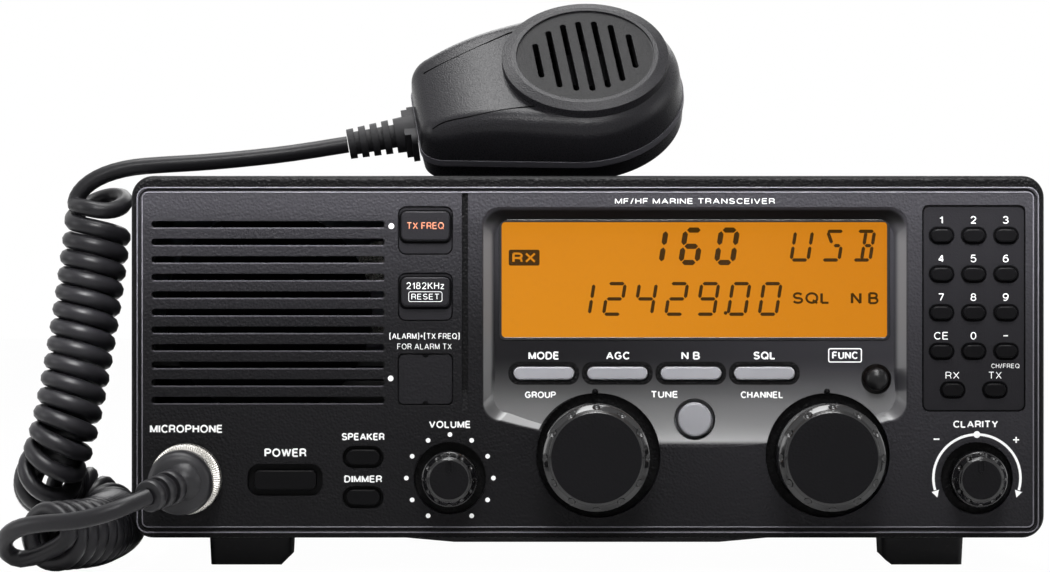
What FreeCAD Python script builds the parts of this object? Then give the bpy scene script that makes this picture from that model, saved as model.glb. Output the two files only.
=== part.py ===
import FreeCAD, Part
import math
import operator
import os
import Sketcher
from FreeCAD import Matrix, Placement, Rotation, Vector

# A marine radio with its hand microphone and curly cord, in millimetres.
# X is to the right of someone who faces the panel, Y goes away from them, Z is up.
# The origin is on the surface that the feet stand on, under the middle of the radio.
# A depth is a distance behind the front plane of the panel.

doc = FreeCAD.newDocument("marine_radio")
sheet = doc.addObject("Spreadsheet::Sheet", "Sizes")
nodes = []


class Size:
    """A length with the expression that gives it from the sheet."""

    signs = {"+": operator.add, "-": operator.sub, "*": operator.mul, "/": operator.truediv}

    def __init__(self, value, text):
        self.value = float(value)
        self.text = text

    def joined(self, sign, other, swapped=False):
        first, second = (as_size(other), self) if swapped else (self, as_size(other))
        value = Size.signs[sign](first.value, second.value)
        return Size(value, f"({first.text} {sign} {second.text})")

    def __add__(self, other):
        return self.joined("+", other)

    def __radd__(self, other):
        return self.joined("+", other, True)

    def __sub__(self, other):
        return self.joined("-", other)

    def __rsub__(self, other):
        return self.joined("-", other, True)

    def __mul__(self, other):
        return self.joined("*", other)

    def __rmul__(self, other):
        return self.joined("*", other, True)

    def __truediv__(self, other):
        return self.joined("/", other)

    def __neg__(self):
        return self.joined("*", -1)


def as_size(number):
    return number if isinstance(number, Size) else Size(number, f"({float(number)!r})")


def size(alias, value):
    """A driving dimension: one row of the sheet."""
    size.row += 1
    sheet.set(f"A{size.row}", alias)
    sheet.set(f"B{size.row}", str(value))
    sheet.setAlias(f"B{size.row}", alias)
    return Size(value, f"Sizes.{alias}")


size.row = 0

# Case
case_width = size("case_width", 291.4)
case_height = size("case_height", 115.6)
case_depth = size("case_depth", 315)
foot_height = size("foot_height", 10.4)
knob_reach = size("knob_reach", 24)
bezel_depth = size("bezel_depth", 26)
bezel_corner = size("bezel_corner", 7)
bezel_wall = size("bezel_wall", 2.6)
bezel_edge_radius = size("bezel_edge_radius", 1.6)
plate_thickness = size("plate_thickness", 3)
part_clearance = size("part_clearance", 0.1)
seat_clearance = size("seat_clearance", 0.3)

# Groove round the panel
groove_inset = size("groove_inset", 2.3)
groove_top_inset = size("groove_top_inset", 4)
groove_width = size("groove_width", 0.9)
groove_depth = size("groove_depth", 0.7)
groove_corner = size("groove_corner", 4)

# Speaker grille and divider
slot_centre_x = size("slots_inset", 43.7) - case_width / 2
slot_length = size("slot_length", 74.5)
slot_height = size("slot_height", 2.1)
slot_pitch = size("slot_pitch", 5.61)
slot_count = size("slot_count", 11)
slot_top = size("slot_top", 110.5)
divider_x = size("divider_inset", 106.5) - case_width / 2
divider_width = size("divider_width", 1.9)
divider_depth = size("divider_depth", 1)
divider_low = size("divider_low", 51)
divider_high = size("divider_high", 121)
divider_ramp = size("divider_ramp", 7)
speaker_radius = size("speaker_radius", 33)
speaker_height = size("speaker_height", 20)
magnet_radius = size("magnet_radius", 17)

# Display and the scoop round it
scoop_centre_x = size("scoop_centre_x", 34.2)
scoop_width = size("scoop_width", 136)
scoop_top = size("scoop_top", 116)
scoop_corner_low = size("scoop_corner_low", 47.5)
scoop_low = size("scoop_low", 39.3)
scoop_depth = size("scoop_depth", 4)
scoop_slope = size("scoop_slope", 4.2)
scoop_floor_end = size("scoop_floor_end", 66)
slab_back = size("slab_back", 7)
slab_margin = size("slab_margin", 2.4)
window_centre_z = size("window_centre_z", 92.8)
window_width = size("window_width", 123.4)
window_height = size("window_height", 36.8)
window_corner = size("window_corner", 1.2)
window_thickness = size("window_thickness", 2.4)
window_setback = size("window_setback", 0.3)
window_clearance = size("window_clearance", 0.15)
display_margin = size("display_margin", 3)
display_thickness = size("display_thickness", 6)

# Board behind the panel
board_front = size("board_front", 19.5)
board_thickness = size("board_thickness", 1.6)
board_margin = size("board_margin", 1.8)
board_left = size("board_inset", 79.9) - case_width / 2
board_strip_left = size("board_strip_inset", 33.1) - case_width / 2
board_strip_top = size("board_strip_top", 44)
switch_height = size("switch_height", 3.5)
switch_radius = size("switch_radius", 2.8)
post_radius = size("post_radius", 3)

# Keys
key_travel = size("key_travel", 1)
key_flange = size("key_flange", 1.2)
key_flange_rim = size("key_flange_rim", 0.6)
key_stem_radius = size("key_stem_radius", 1.6)
key_gap = size("key_gap", 0.35)
key_edge_radius = size("key_edge_radius", 0.5)
pill_x = size("pill_x", -14)
pill_z = size("pill_z", 62.9)
pill_pitch = size("pill_pitch", 23.52)
pill_length = size("pill_length", 19.4)
pill_height = size("pill_height", 4.1)
pill_front = size("pill_front", 2.4)
function_key_x = size("function_key_x", 92.4)
function_key_z = size("function_key_z", 61)
function_key_radius = size("function_key_radius", 3.6)
function_key_gap = size("function_key_gap", 1.2)
function_key_front = size("function_key_front", 1.4)
tune_key_z = size("tune_key_z", 48.2)
tune_key_radius = size("tune_key_radius", 5.4)
tune_key_gap = size("tune_key_gap", 1)
tune_key_front = size("tune_key_front", 0.2)
square_key_x = size("square_key_inset", 93.9) - case_width / 2
square_key_width = size("square_key_width", 15.4)
square_key_height = size("square_key_height", 9.3)
square_key_corner = size("square_key_corner", 1.8)
square_key_front = size("square_key_front", -1)
skirt_width = size("skirt_width", 16.8)
skirt_height = size("skirt_height", 14.8)
skirt_corner = size("skirt_corner", 2.2)
skirt_front = size("skirt_front", 0.5)
send_key_z = size("send_key_z", 110)
send_skirt_z = size("send_skirt_z", 108.5)
distress_key_z = size("distress_key_z", 89)
distress_skirt_z = size("distress_skirt_z", 87.3)
blank_cover_z = size("blank_cover_z", 61)
blank_cover_width = size("blank_cover_width", 17)
blank_cover_height = size("blank_cover_height", 15.8)
side_key_x = size("side_key_inset", 74.0) - case_width / 2
side_key_length = size("side_key_length", 10.9)
side_key_height = size("side_key_height", 4.9)
side_key_gap = size("side_key_gap", 1.1)
side_key_front = size("side_key_front", -0.8)
speaker_key_z = size("speaker_key_z", 36.2)
dimmer_key_z = size("dimmer_key_z", 23.4)
power_key_x = size("power_key_inset", 49.1) - case_width / 2
power_key_z = size("power_key_z", 28.9)
power_key_length = size("power_key_length", 19.9)
power_key_height = size("power_key_height", 6.2)
power_key_gap = size("power_key_gap", 2)
power_key_front = size("power_key_front", -0.5)

# Keypad
keypad_x = case_width / 2 - size("keypad_inset", 22.5)
keypad_centre_z = size("keypad_centre_z", 83.7)
keypad_width = size("keypad_width", 32.7)
keypad_height = size("keypad_height", 65.7)
keypad_corner = size("keypad_corner", 1.5)
keypad_plate = size("keypad_plate", 1.4)
keypad_setback = size("keypad_setback", 0.2)
keypad_top_row = size("keypad_top_row", 106.9)
keypad_pitch_x = size("keypad_pitch_x", 10.28)
keypad_pitch_z = size("keypad_pitch_z", 12.32)
keypad_last_spread = size("keypad_last_spread", 13.5)
keypad_key_length = size("keypad_key_length", 6.8)
keypad_key_height = size("keypad_key_height", 4.15)
keypad_key_gap = size("keypad_key_gap", 0.7)
keypad_key_front = size("keypad_key_front", -1)

# Knobs
big_knob_z = size("big_knob_z", 36.7)
group_knob_x = size("group_knob_x", 3.4)
channel_knob_x = size("channel_knob_x", 76.6)
big_knob_radius = size("big_knob_radius", 16.9)
big_face_radius = size("big_face_radius", 14.3)
big_well_radius = size("big_well_radius", 19.8)
big_well_depth = size("big_well_depth", 6)
well_floor = size("well_floor", 2.4)
small_knob_z = size("small_knob_z", 29.5)
volume_knob_x = size("volume_knob_inset", 101.7) - case_width / 2
clarity_knob_x = case_width / 2 - size("clarity_knob_inset", 21.5)
small_knob_radius = size("small_knob_radius", 8.8)
small_face_radius = size("small_face_radius", 6.4)
small_knob_reach = size("small_knob_reach", 15)
small_well_radius = size("small_well_radius", 11.5)
small_well_depth = size("small_well_depth", 4.4)
knob_floor_gap = size("knob_floor_gap", 0.4)
dimple_radius = size("dimple_radius", 1.5)
small_dimple_radius = size("small_dimple_radius", 0.85)
dimple_count = size("dimple_count", 12)
shaft_radius = size("shaft_radius", 3)
shaft_grip = size("shaft_grip", 12)
shaft_clearance = size("shaft_clearance", 0.05)
bushing_wall = size("bushing_wall", 1.4)
control_width = size("control_width", 12.5)
control_height = size("control_height", 6.5)
pointer_width = size("pointer_width", 1.9)
pointer_length = size("pointer_length", 4.6)
pointer_height = size("pointer_height", 0.5)

# Covers, chassis and heat sink
cover_inset = size("cover_inset", 1.2)
cover_thickness = size("cover_thickness", 1.2)
cover_corner = size("cover_corner", 4)
cover_split = size("cover_split", 66)
cover_end = size("cover_end", 288)
chassis_wall = size("chassis_wall", 3)
deck_thickness = size("deck_thickness", 2.4)
rear_wall = size("rear_wall", 3.6)
vent_width = size("vent_width", 2.6)
vent_length = size("vent_length", 34)
vent_pitch = size("vent_pitch", 7)
vent_count = size("vent_count", 16)
vent_start_depth = size("vent_start_depth", 210)
press_depth = size("press_depth", 4)
press_half_width = size("press_half_width", 43)
press_foot_half_width = size("press_foot_half_width", 88)
bracket_bore_radius = size("bracket_bore_radius", 2.5)
bracket_boss_radius = size("bracket_boss_radius", 5.5)
bracket_boss_length = size("bracket_boss_length", 6)
bracket_cover_radius = size("bracket_cover_radius", 7)
bracket_bore_z = size("bracket_bore_z", 78)
bracket_front_depth = size("bracket_front_depth", 90)
bracket_spacing = size("bracket_spacing", 100)
sink_left = size("sink_left", -48)
sink_width = size("sink_width", 182)
sink_height = size("sink_height", 100)
sink_base = size("sink_base", 5)
fin_thickness = size("fin_thickness", 1.8)
fin_pitch = size("fin_pitch", 7.5)
fin_count = size("fin_count", 25)

# Feet and screws
foot_spread = case_width / 2 - size("foot_inset", 36.2)
foot_width = size("foot_width", 25.8)
foot_length = size("foot_length", 24)
foot_front_depth = size("foot_front_depth", 30)
foot_rear_depth = size("foot_rear_depth", 262)
foot_draft = size("foot_draft", 3)
foot_chamfer = size("foot_chamfer", 2.8)
screw_head_radius = size("screw_head_radius", 2.8)
screw_head_height = size("screw_head_height", 1)
screw_radius = size("screw_radius", 1.5)
screw_length = size("screw_length", 5)
screw_inset = size("screw_inset", 9)
screw_pitch = size("screw_pitch", 118)

# Sockets at the back
antenna_x = size("antenna_inset", 69.7) - case_width / 2
antenna_z = size("antenna_z", 100)
antenna_radius = size("antenna_radius", 7.9)
antenna_length = size("antenna_length", 17)
antenna_flange = size("antenna_flange", 25.4)
socket_hole_radius = size("socket_hole_radius", 2.2)
stud_x = size("stud_inset", 69.7) - case_width / 2
stud_z = size("stud_z", 75)
stud_radius = size("stud_radius", 3)
stud_length = size("stud_length", 24)
nut_radius = size("nut_radius", 5.5)
nut_height = size("nut_height", 5)
wing_span = size("wing_span", 24)
power_inlet_x = size("power_inlet_inset", 28.7) - case_width / 2
power_inlet_z = size("power_inlet_z", 100)
power_inlet_width = size("power_inlet_width", 30)
power_inlet_height = size("power_inlet_height", 17)
tuner_socket_z = size("tuner_socket_z", 76)
tuner_socket_width = size("tuner_socket_width", 24)
tuner_socket_height = size("tuner_socket_height", 14)
round_socket_z = size("round_socket_z", 52)
round_socket_x = size("round_socket_inset", 19.7) - case_width / 2
round_socket_pitch = size("round_socket_pitch", 22)
round_socket_radius = size("round_socket_radius", 8.5)
round_socket_bore = size("round_socket_bore", 6.4)
data_socket_x = size("data_socket_inset", 29.7) - case_width / 2
data_socket_z = size("data_socket_z", 28)
data_socket_width = size("data_socket_width", 31)
data_socket_height = size("data_socket_height", 12.5)
jack_x = size("jack_inset", 71.7) - case_width / 2
jack_z = size("jack_z", 44)
jack_pitch = size("jack_pitch", 16)
jack_radius = size("jack_radius", 4.6)
jack_bore = size("jack_bore", 1.8)
socket_lip = size("socket_lip", 3)
socket_wall = size("socket_wall", 2.2)
socket_body = size("socket_body", 12)

# Boards inside the case
main_board_width = size("main_board_width", 250)
main_board_length = size("main_board_length", 200)
board_standoff = size("board_standoff", 5)
spacer_radius = size("spacer_radius", 3)
can_height = size("can_height", 14)
power_board_width = size("power_board_width", 168)
power_board_length = size("power_board_length", 120)

# Microphone socket and plug
socket_x = size("socket_inset", 17.8) - case_width / 2
socket_z = size("socket_z", 29.4)
socket_radius = size("socket_radius", 8)
socket_rim = size("socket_rim", 10.2)
socket_rim_height = size("socket_rim_height", 1.5)
plug_ring_radius = size("plug_ring_radius", 11.3)
plug_ring_length = size("plug_ring_length", 6)
plug_radius = size("plug_radius", 10.8)
plug_length = size("plug_length", 11)
plug_edge = size("plug_edge", 3)
boot_radius = size("boot_radius", 6.2)
boot_end_radius = size("boot_end_radius", 4.8)

# Hand microphone, in its own frame: X towards the head, Z out of the grille
head_radius = size("head_radius", 32)
neck_length = size("neck_length", 56.4)
neck_half_width = size("neck_half_width", 21)
neck_corner = size("neck_corner", 9)
face_height = size("face_height", 16)
face_tilt = size("face_tilt", 3.3)
face_flat_reach = size("face_flat_reach", 24.6)
face_fall_radius = size("face_fall_radius", 64)
shell_taper = size("shell_taper", 2)
shoulder_radius = size("shoulder_radius", 6.5)
ring_radius = size("ring_radius", 27.2)
ring_inner_radius = size("ring_inner_radius", 22.5)
ring_height = size("ring_height", 2.6)
ring_rise = size("ring_rise", 0.9)
grille_recess = size("grille_recess", 0.6)
grille_slot_width = size("grille_slot_width", 1.9)
grille_slot_pitch = size("grille_slot_pitch", 5.15)
grille_slot_reach = size("grille_slot_reach", 17.7)
grille_slot_count = size("grille_slot_count", 7)
mic_wall = size("mic_wall", 2.4)
gasket_half = size("gasket_half", 1.2)
gasket_proud = size("gasket_proud", 0.3)
back_wall_height = size("back_wall_height", 7.4)
back_depth = size("back_depth", 20)
flank_angle = size("flank_angle", 40.6)
mic_seam_x = size("mic_seam_x", 0)
mic_seam_depth = size("mic_seam_depth", 45)
gland_drop = size("gland_drop", 3.2)
gland_radius = size("gland_radius", 6.1)
gland_end_radius = size("gland_end_radius", 4.9)
gland_length = size("gland_length", 23)
gland_lean = size("gland_lean", 2.2)
gland_rib_count = 4
gland_plate_thickness = size("gland_plate_thickness", 2)
gland_plate_width = size("gland_plate_width", 18)
gland_plate_height = size("gland_plate_height", 11)
talk_key_length = size("talk_key_length", 34)
talk_key_height = size("talk_key_height", 9)
talk_key_reach = size("talk_key_reach", 2.6)
talk_key_offset = size("talk_key_offset", 8)
talk_key_gap = size("talk_key_gap", 0.3)
hang_button_radius = size("hang_button_radius", 5)
fixing_radius = size("fixing_radius", 1.25)
fixing_head_radius = size("fixing_head_radius", 2.2)
capsule_radius = size("capsule_radius", 9)
capsule_board_length = size("capsule_board_length", 34)
capsule_board_width = size("capsule_board_width", 24)

# Cord
cord_diameter = size("cord_diameter", 5.7)
coil_diameter = size("coil_diameter", 23)

front = knob_reach - (case_depth + knob_reach) / 2
middle_z = foot_height + case_height / 2
cover_width = case_width - 2 * cover_inset
cover_low = foot_height + cover_inset
cover_high = foot_height + case_height - cover_inset
chassis_width = cover_width - 2 * cover_thickness - 2 * part_clearance
chassis_low = cover_low + cover_thickness + part_clearance
chassis_high = cover_high - cover_thickness - part_clearance
case_start = bezel_depth + part_clearance
deck_z = cover_split


def bind(item, path, value):
    item.setExpression(path, as_size(value).text)


def place(item, x, y, z):
    for letter, value in (("x", x), ("y", y), ("z", z)):
        bind(item, f"Placement.Base.{letter}", value)


def piece(node, item):
    """Names a finished sub-part."""
    item.Label = node
    nodes.append(item)
    return item


def box(name, length, width, height, x, y, z):
    """A block from its lowest corner."""
    item = doc.addObject("Part::Box", name)
    for path, value in (("Length", length), ("Width", width), ("Height", height)):
        bind(item, path, value)
    place(item, x, y, z)
    return item


def rod(name, radius, length, x, y, z, axis="Y"):
    """A cylinder from the centre of its first end, along an axis."""
    item = doc.addObject("Part::Cylinder", name)
    turn = {"X": (Vector(0, 1, 0), 90), "Y": (Vector(1, 0, 0), -90), "Z": (Vector(0, 0, 1), 0)}[axis]
    item.Placement = Placement(Vector(), Rotation(*turn))
    bind(item, "Radius", radius)
    bind(item, "Height", length)
    place(item, x, y, z)
    return item


def cut(name, base, *tools):
    item = doc.addObject("Part::Cut", name)
    item.Base = base
    item.Tool = tools[0] if len(tools) == 1 else fuse(name + "_tools", *tools)
    return item


def fuse(name, *pieces):
    item = doc.addObject("Part::MultiFuse", name)
    item.Shapes = list(pieces)
    return item


def group(name, *pieces):
    """Separate solids that share a node."""
    item = doc.addObject("Part::Compound", name)
    item.Links = list(pieces)
    return item


def body(name):
    return doc.addObject("PartDesign::Body", name)


def sketch(owner, name, plane, offset):
    """A sketch parallel to one of the body's planes, moved along the plane's normal."""
    item = owner.newObject("Sketcher::SketchObject", name)
    support = next(f for f in owner.Origin.OriginFeatures if f.Role == plane)
    item.AttachmentSupport = [(support, "")]
    item.MapMode = "FlatFace"
    bind(item, "AttachmentOffset.Base.z", offset)
    return item


def front_sketch(owner, name, depth):
    """A sketch that faces the viewer, at a depth behind the front plane."""
    return sketch(owner, name, "XZ_Plane", -(front + depth))


def constrain(item, plain, held):
    """Adds an outline's constraints: plain ones, and ones that end in the size they are bound to."""
    rules = [Sketcher.Constraint(*parts) for parts in plain]
    rules += [Sketcher.Constraint(*parts, as_size(value).value) for *parts, value in held]
    indices = item.addConstraint(rules)
    for index, (*_, value) in zip(indices[len(plain):], held):
        item.renameConstraint(index, f"hold_{index}")
        bind(item, f"Constraints.hold_{index}", value)


def at_point(geometry, point, x, y):
    """The two rules that place a point of a geometry."""
    return [("DistanceX", -1, 1, geometry, point, x), ("DistanceY", -1, 1, geometry, point, y)]


def loop_rules(kind, first, count):
    """Rules that join the end of each geometry to the start of the next."""
    return [(kind, first + i, 2, first + (i + 1) % count, 1) for i in range(count)]


def add_circle(item, x, y, radius):
    x, y, radius = as_size(x), as_size(y), as_size(radius)
    circle = item.addGeometry(Part.Circle(Vector(x.value, y.value), Vector(0, 0, 1), radius.value))
    constrain(item, [], at_point(circle, 3, x, y) + [("Radius", circle, radius)])


def add_polygon(item, points):
    """A closed outline of straight lines through points of two sizes each."""
    spots = [(as_size(x), as_size(y)) for x, y in points]
    ends = [Vector(x.value, y.value) for x, y in spots]
    lines = [item.addGeometry(Part.LineSegment(a, b)) for a, b in zip(ends, ends[1:] + ends[:1])]
    held = [rule for line, (x, y) in zip(lines, spots) for rule in at_point(line, 1, x, y)]
    constrain(item, loop_rules("Coincident", lines[0], len(lines)), held)


def add_rectangle(item, x, y, width, height):
    """A rectangle about its centre."""
    left, right, low, high = x - width / 2, x + width / 2, y - height / 2, y + height / 2
    add_polygon(item, [(left, low), (right, low), (right, high), (left, high)])


def arc_between(centre, radius, start, end):
    circle = Part.Circle(centre, Vector(0, 0, 1), radius)
    return Part.ArcOfCircle(circle, math.radians(start), math.radians(end))


def add_rounded(item, x, y, width, height, radius):
    """A rounded rectangle about its centre: four lines and four arcs, all tangent."""
    left, low = (x - width / 2).value, (y - height / 2).value
    right, high, r = left + width.value, low + height.value, radius.value
    shapes = [
        Part.LineSegment(Vector(left + r, low), Vector(right - r, low)),
        arc_between(Vector(right - r, low + r), r, -90, 0),
        Part.LineSegment(Vector(right, low + r), Vector(right, high - r)),
        arc_between(Vector(right - r, high - r), r, 0, 90),
        Part.LineSegment(Vector(right - r, high), Vector(left + r, high)),
        arc_between(Vector(left + r, high - r), r, 90, 180),
        Part.LineSegment(Vector(left, high - r), Vector(left, low + r)),
        arc_between(Vector(left + r, low + r), r, 180, 270),
    ]
    first = item.addGeometry(shapes[0])
    for shape in shapes[1:]:
        item.addGeometry(shape)
    plain = loop_rules("Tangent", first, 8)
    plain += [("Equal", first + step, first + step + 2) for step in (1, 3, 5)]
    plain += [("Horizontal", first + step) for step in (0, 4)]
    plain += [("Vertical", first + step) for step in (2, 6)]
    constrain(item, plain, [
        ("Radius", first + 1, radius),
        ("DistanceX", -1, 1, first + 6, 1, x - width / 2),
        ("DistanceX", -1, 1, first + 2, 1, x + width / 2),
        ("DistanceY", -1, 1, first, 1, y - height / 2),
        ("DistanceY", -1, 1, first + 4, 1, y + height / 2),
    ])


def add_pill(item, x, y, length, height):
    """A slot outline with round ends."""
    half, reach = (height / 2).value, ((length - height) / 2).value
    left, right = Vector(x.value - reach, y.value), Vector(x.value + reach, y.value)
    up = Vector(0, half)
    first = item.addGeometry(Part.LineSegment(left - up, right - up))
    item.addGeometry(arc_between(right, half, -90, 90))
    item.addGeometry(Part.LineSegment(right + up, left + up))
    item.addGeometry(arc_between(left, half, 90, 270))
    reach = (length - height) / 2
    held = [("Radius", first + 1, height / 2)]
    held += at_point(first + 1, 3, x + reach, y) + at_point(first + 3, 3, x - reach, y)
    constrain(item, loop_rules("Tangent", first, 4), held)


def pad(owner, name, profile, length, draft=None):
    item = owner.newObject("PartDesign::Pad", name)
    item.Profile = profile
    bind(item, "Length", length)
    if draft is not None:
        bind(item, "TaperAngle", draft)
    return item


def pocket(owner, name, profile, length=None):
    """A cut against the sketch's normal, through everything where no length is given."""
    item = owner.newObject("PartDesign::Pocket", name)
    item.Profile = profile
    if length is None:
        item.Type = "ThroughAll"
    else:
        bind(item, "Length", length)
    return item


def repeat(owner, name, feature, direction, pitch, count):
    """Copies of a feature along a direction of its sketch."""
    item = owner.newObject("PartDesign::LinearPattern", name)
    item.Originals = [feature]
    item.Direction = (feature.Profile[0], [direction])
    bind(item, "Length", pitch * (count - 1))
    bind(item, "Occurrences", count)
    owner.Tip = item
    return item


def dress(owner, kind, name, feature, chosen, amount):
    """A fillet or chamfer on the edges of a feature that a test picks."""
    doc.recompute([feature])
    edges = feature.Shape.Edges
    names = [f"Edge{i + 1}" for i, edge in enumerate(edges) if chosen(edge)]
    item = owner.newObject(f"PartDesign::{kind}", name)
    item.Base = (feature, names)
    bind(item, "Radius" if kind == "Fillet" else "Size", amount)
    owner.Tip = item
    return item


def lies_at(axis, value):
    """A test for edges that lie whole in a plane across an axis."""
    low, high = f"{axis}Min", f"{axis}Max"

    def test(edge):
        bounds = edge.BoundBox
        return abs(getattr(bounds, low) - value) < 0.01 and abs(getattr(bounds, high) - value) < 0.01

    return test


# The keys: (node, outline, x, z, length, height, corner, gap, front depth, where it sits)
def key_table():
    rows = []
    for i, name in enumerate(("mode", "agc", "noise_blanker", "squelch")):
        x = pill_x + i * pill_pitch
        rows.append((name, "pill", x, pill_z, pill_length, pill_height, None, key_gap, pill_front, "slab"))
    rows.append(
        ("function", "round", function_key_x, function_key_z, 2 * function_key_radius,
         2 * function_key_radius, None, function_key_gap, function_key_front, "slab")
    )
    rows.append(
        ("tune", "round", scoop_centre_x, tune_key_z, 2 * tune_key_radius,
         2 * tune_key_radius, None, tune_key_gap, tune_key_front, "slab")
    )
    for name, z in (("speaker", speaker_key_z), ("dimmer", dimmer_key_z)):
        rows.append(
            (name, "pill", side_key_x, z, side_key_length, side_key_height, None,
             side_key_gap, side_key_front, "plate")
        )
    rows.append(
        ("power", "block", power_key_x, power_key_z, power_key_length, power_key_height,
         square_key_corner, power_key_gap, power_key_front, "plate")
    )
    for name, z in (("send_frequency", send_skirt_z), ("distress_frequency", distress_skirt_z)):
        rows.append(
            (name, "block", square_key_x, z, skirt_width, skirt_height, skirt_corner,
             key_gap, skirt_front, "plate")
        )
    names = (("1", "2", "3"), ("4", "5", "6"), ("7", "8", "9"), ("clear", "0", "minus"))
    for row, line in enumerate(names):
        for column, name in enumerate(line):
            x = keypad_x + (column - 1) * keypad_pitch_x
            z = keypad_top_row - row * keypad_pitch_z
            rows.append(keypad_row(name, x, z))
    for name, side in (("receive", -1), ("transmit", 1)):
        x = keypad_x + side * keypad_last_spread / 2
        rows.append(keypad_row(name, x, keypad_top_row - 4 * keypad_pitch_z))
    return rows


def keypad_row(name, x, z):
    return (f"pad_{name}", "pill", x, z, keypad_key_length, keypad_key_height, None,
            keypad_key_gap, keypad_key_front, "keypad")


def add_outline(item, kind, x, z, length, height, corner, gap=0):
    """A key's outline, or the hole for it with a gap all round."""
    if kind == "pill":
        add_pill(item, x, z, length + 2 * gap, height + 2 * gap)
    elif kind == "round":
        add_circle(item, x, z, length / 2 + gap)
    else:
        add_rounded(item, x, z, length + 2 * gap, height + 2 * gap, corner + gap)


def seat_depth(zone):
    """The depth of the surface behind the panel that a key's flange rests against."""
    return (slab_back if zone == "slab" else plate_thickness) + seat_clearance


knob_table = [
    ("group", group_knob_x, big_knob_z, big_well_radius, big_well_depth),
    ("channel", channel_knob_x, big_knob_z, big_well_radius, big_well_depth),
    ("volume", volume_knob_x, small_knob_z, small_well_radius, small_well_depth),
    ("clarity", clarity_knob_x, small_knob_z, small_well_radius, small_well_depth),
]


def make_front_panel(keys):
    shell = body("front_panel_shell")
    outline = front_sketch(shell, "panel_outline", bezel_depth)
    add_rounded(outline, as_size(0), middle_z, case_width, case_height, bezel_corner)
    block = pad(shell, "panel_block", outline, bezel_depth)
    dress(shell, "Fillet", "panel_edge", block, lies_at("Y", front.value), bezel_edge_radius)

    # The hollow behind the plate opens backwards, so its sketch looks the other way.
    hollow = front_sketch(shell, "panel_hollow_outline", plate_thickness)
    add_rounded(hollow, as_size(0), middle_z, case_width - 2 * bezel_wall,
                case_height - 2 * bezel_wall, bezel_corner - bezel_wall)
    pocket(shell, "panel_hollow", hollow)

    slab = front_sketch(shell, "slab_outline", slab_back)
    add_rectangle(slab, scoop_centre_x, (scoop_top + big_knob_z) / 2,
                  scoop_width + 2 * slab_margin, scoop_top - big_knob_z + 2 * slab_margin)
    pad(shell, "slab", slab, slab_back - plate_thickness / 2)
    for name, x, z, radius, depth in knob_table:
        boss = front_sketch(shell, f"{name}_boss_outline", depth + well_floor)
        add_circle(boss, x, z, radius + slab_margin / 2)
        pad(shell, f"{name}_boss", boss, depth + well_floor - plate_thickness / 2)
    posts = front_sketch(shell, "post_outline", board_front - part_clearance)
    for x, z in post_places():
        add_circle(posts, x, z, post_radius)
    pad(shell, "posts", posts, board_front - part_clearance - plate_thickness / 2)

    groove = front_sketch(shell, "groove_outline", 0)
    centre = middle_z + (groove_inset - groove_top_inset) / 2
    tall = case_height - groove_inset - groove_top_inset
    wide = case_width - 2 * groove_inset
    add_rounded(groove, as_size(0), centre, wide, tall, groove_corner)
    add_rounded(groove, as_size(0), centre, wide - 2 * groove_width, tall - 2 * groove_width,
                groove_corner - groove_width)
    pocket(shell, "groove", groove, groove_depth)

    slot = front_sketch(shell, "slot_outline", 0)
    lowest = slot_top - (slot_count - 1) * slot_pitch
    add_pill(slot, slot_centre_x, lowest, slot_length, slot_height)
    first_slot = pocket(shell, "slot", slot, plate_thickness * 2)
    repeat(shell, "slots", first_slot, "V_Axis", slot_pitch, slot_count)

    keypad = front_sketch(shell, "keypad_recess_outline", 0)
    add_rounded(keypad, keypad_x, keypad_centre_z, keypad_width, keypad_height, keypad_corner)
    pocket(shell, "keypad_recess", keypad, keypad_plate + keypad_setback)
    for place_name in ("slab", "plate", "keypad"):
        holes = front_sketch(shell, f"{place_name}_key_hole_outline", 0)
        for _, kind, x, z, length, height, corner, gap, _, zone in keys:
            if zone == place_name:
                add_outline(holes, kind, x, z, length, height, corner, gap)
        pocket(shell, f"{place_name}_key_holes", holes, slab_back + plate_thickness)
    holes = front_sketch(shell, "opening_outline", 0)
    add_circle(holes, socket_x, socket_z, socket_radius + part_clearance)
    add_rounded(holes, square_key_x, blank_cover_z, blank_cover_width + 2 * key_gap,
                blank_cover_height + 2 * key_gap, square_key_corner)
    add_rounded(holes, scoop_centre_x, window_centre_z, window_width + 2 * window_clearance,
                window_height + 2 * window_clearance, window_corner)
    pocket(shell, "openings", holes, slab_back + plate_thickness)
    for name, x, z, radius, depth in knob_table:
        well = front_sketch(shell, f"{name}_well_outline", 0)
        add_circle(well, x, z, radius)
        pocket(shell, f"{name}_well", well, depth)
    shafts = front_sketch(shell, "shaft_hole_outline", 0)
    for _, x, z, _, _ in knob_table:
        add_circle(shafts, x, z, shaft_radius + seat_clearance)
    pocket(shell, "shaft_holes", shafts)

    divider = sketch(shell, "divider_profile", "YZ_Plane", divider_x - divider_width / 2)
    add_polygon(divider, [
        (front, divider_high),
        (front, divider_low),
        (front + divider_depth, divider_low + divider_ramp),
        (front + divider_depth, divider_high),
    ])
    channel = pocket(shell, "divider", divider, divider_width)
    channel.Reversed = True
    return piece("front_panel", cut("front_panel", shell, scoop_cutter()))


def post_places():
    """Posts that carry the board behind the panel."""
    edge = bezel_wall + board_margin + post_radius
    right = case_width / 2 - edge
    high, low = foot_height + case_height - edge, foot_height + edge
    between = (group_knob_x + channel_knob_x) / 2
    beside_key = square_key_x + skirt_width / 2 + key_flange_rim + key_gap + 1.5 * post_radius
    return [(right, high), (right, low), (beside_key, high), (between, low)]


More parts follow.
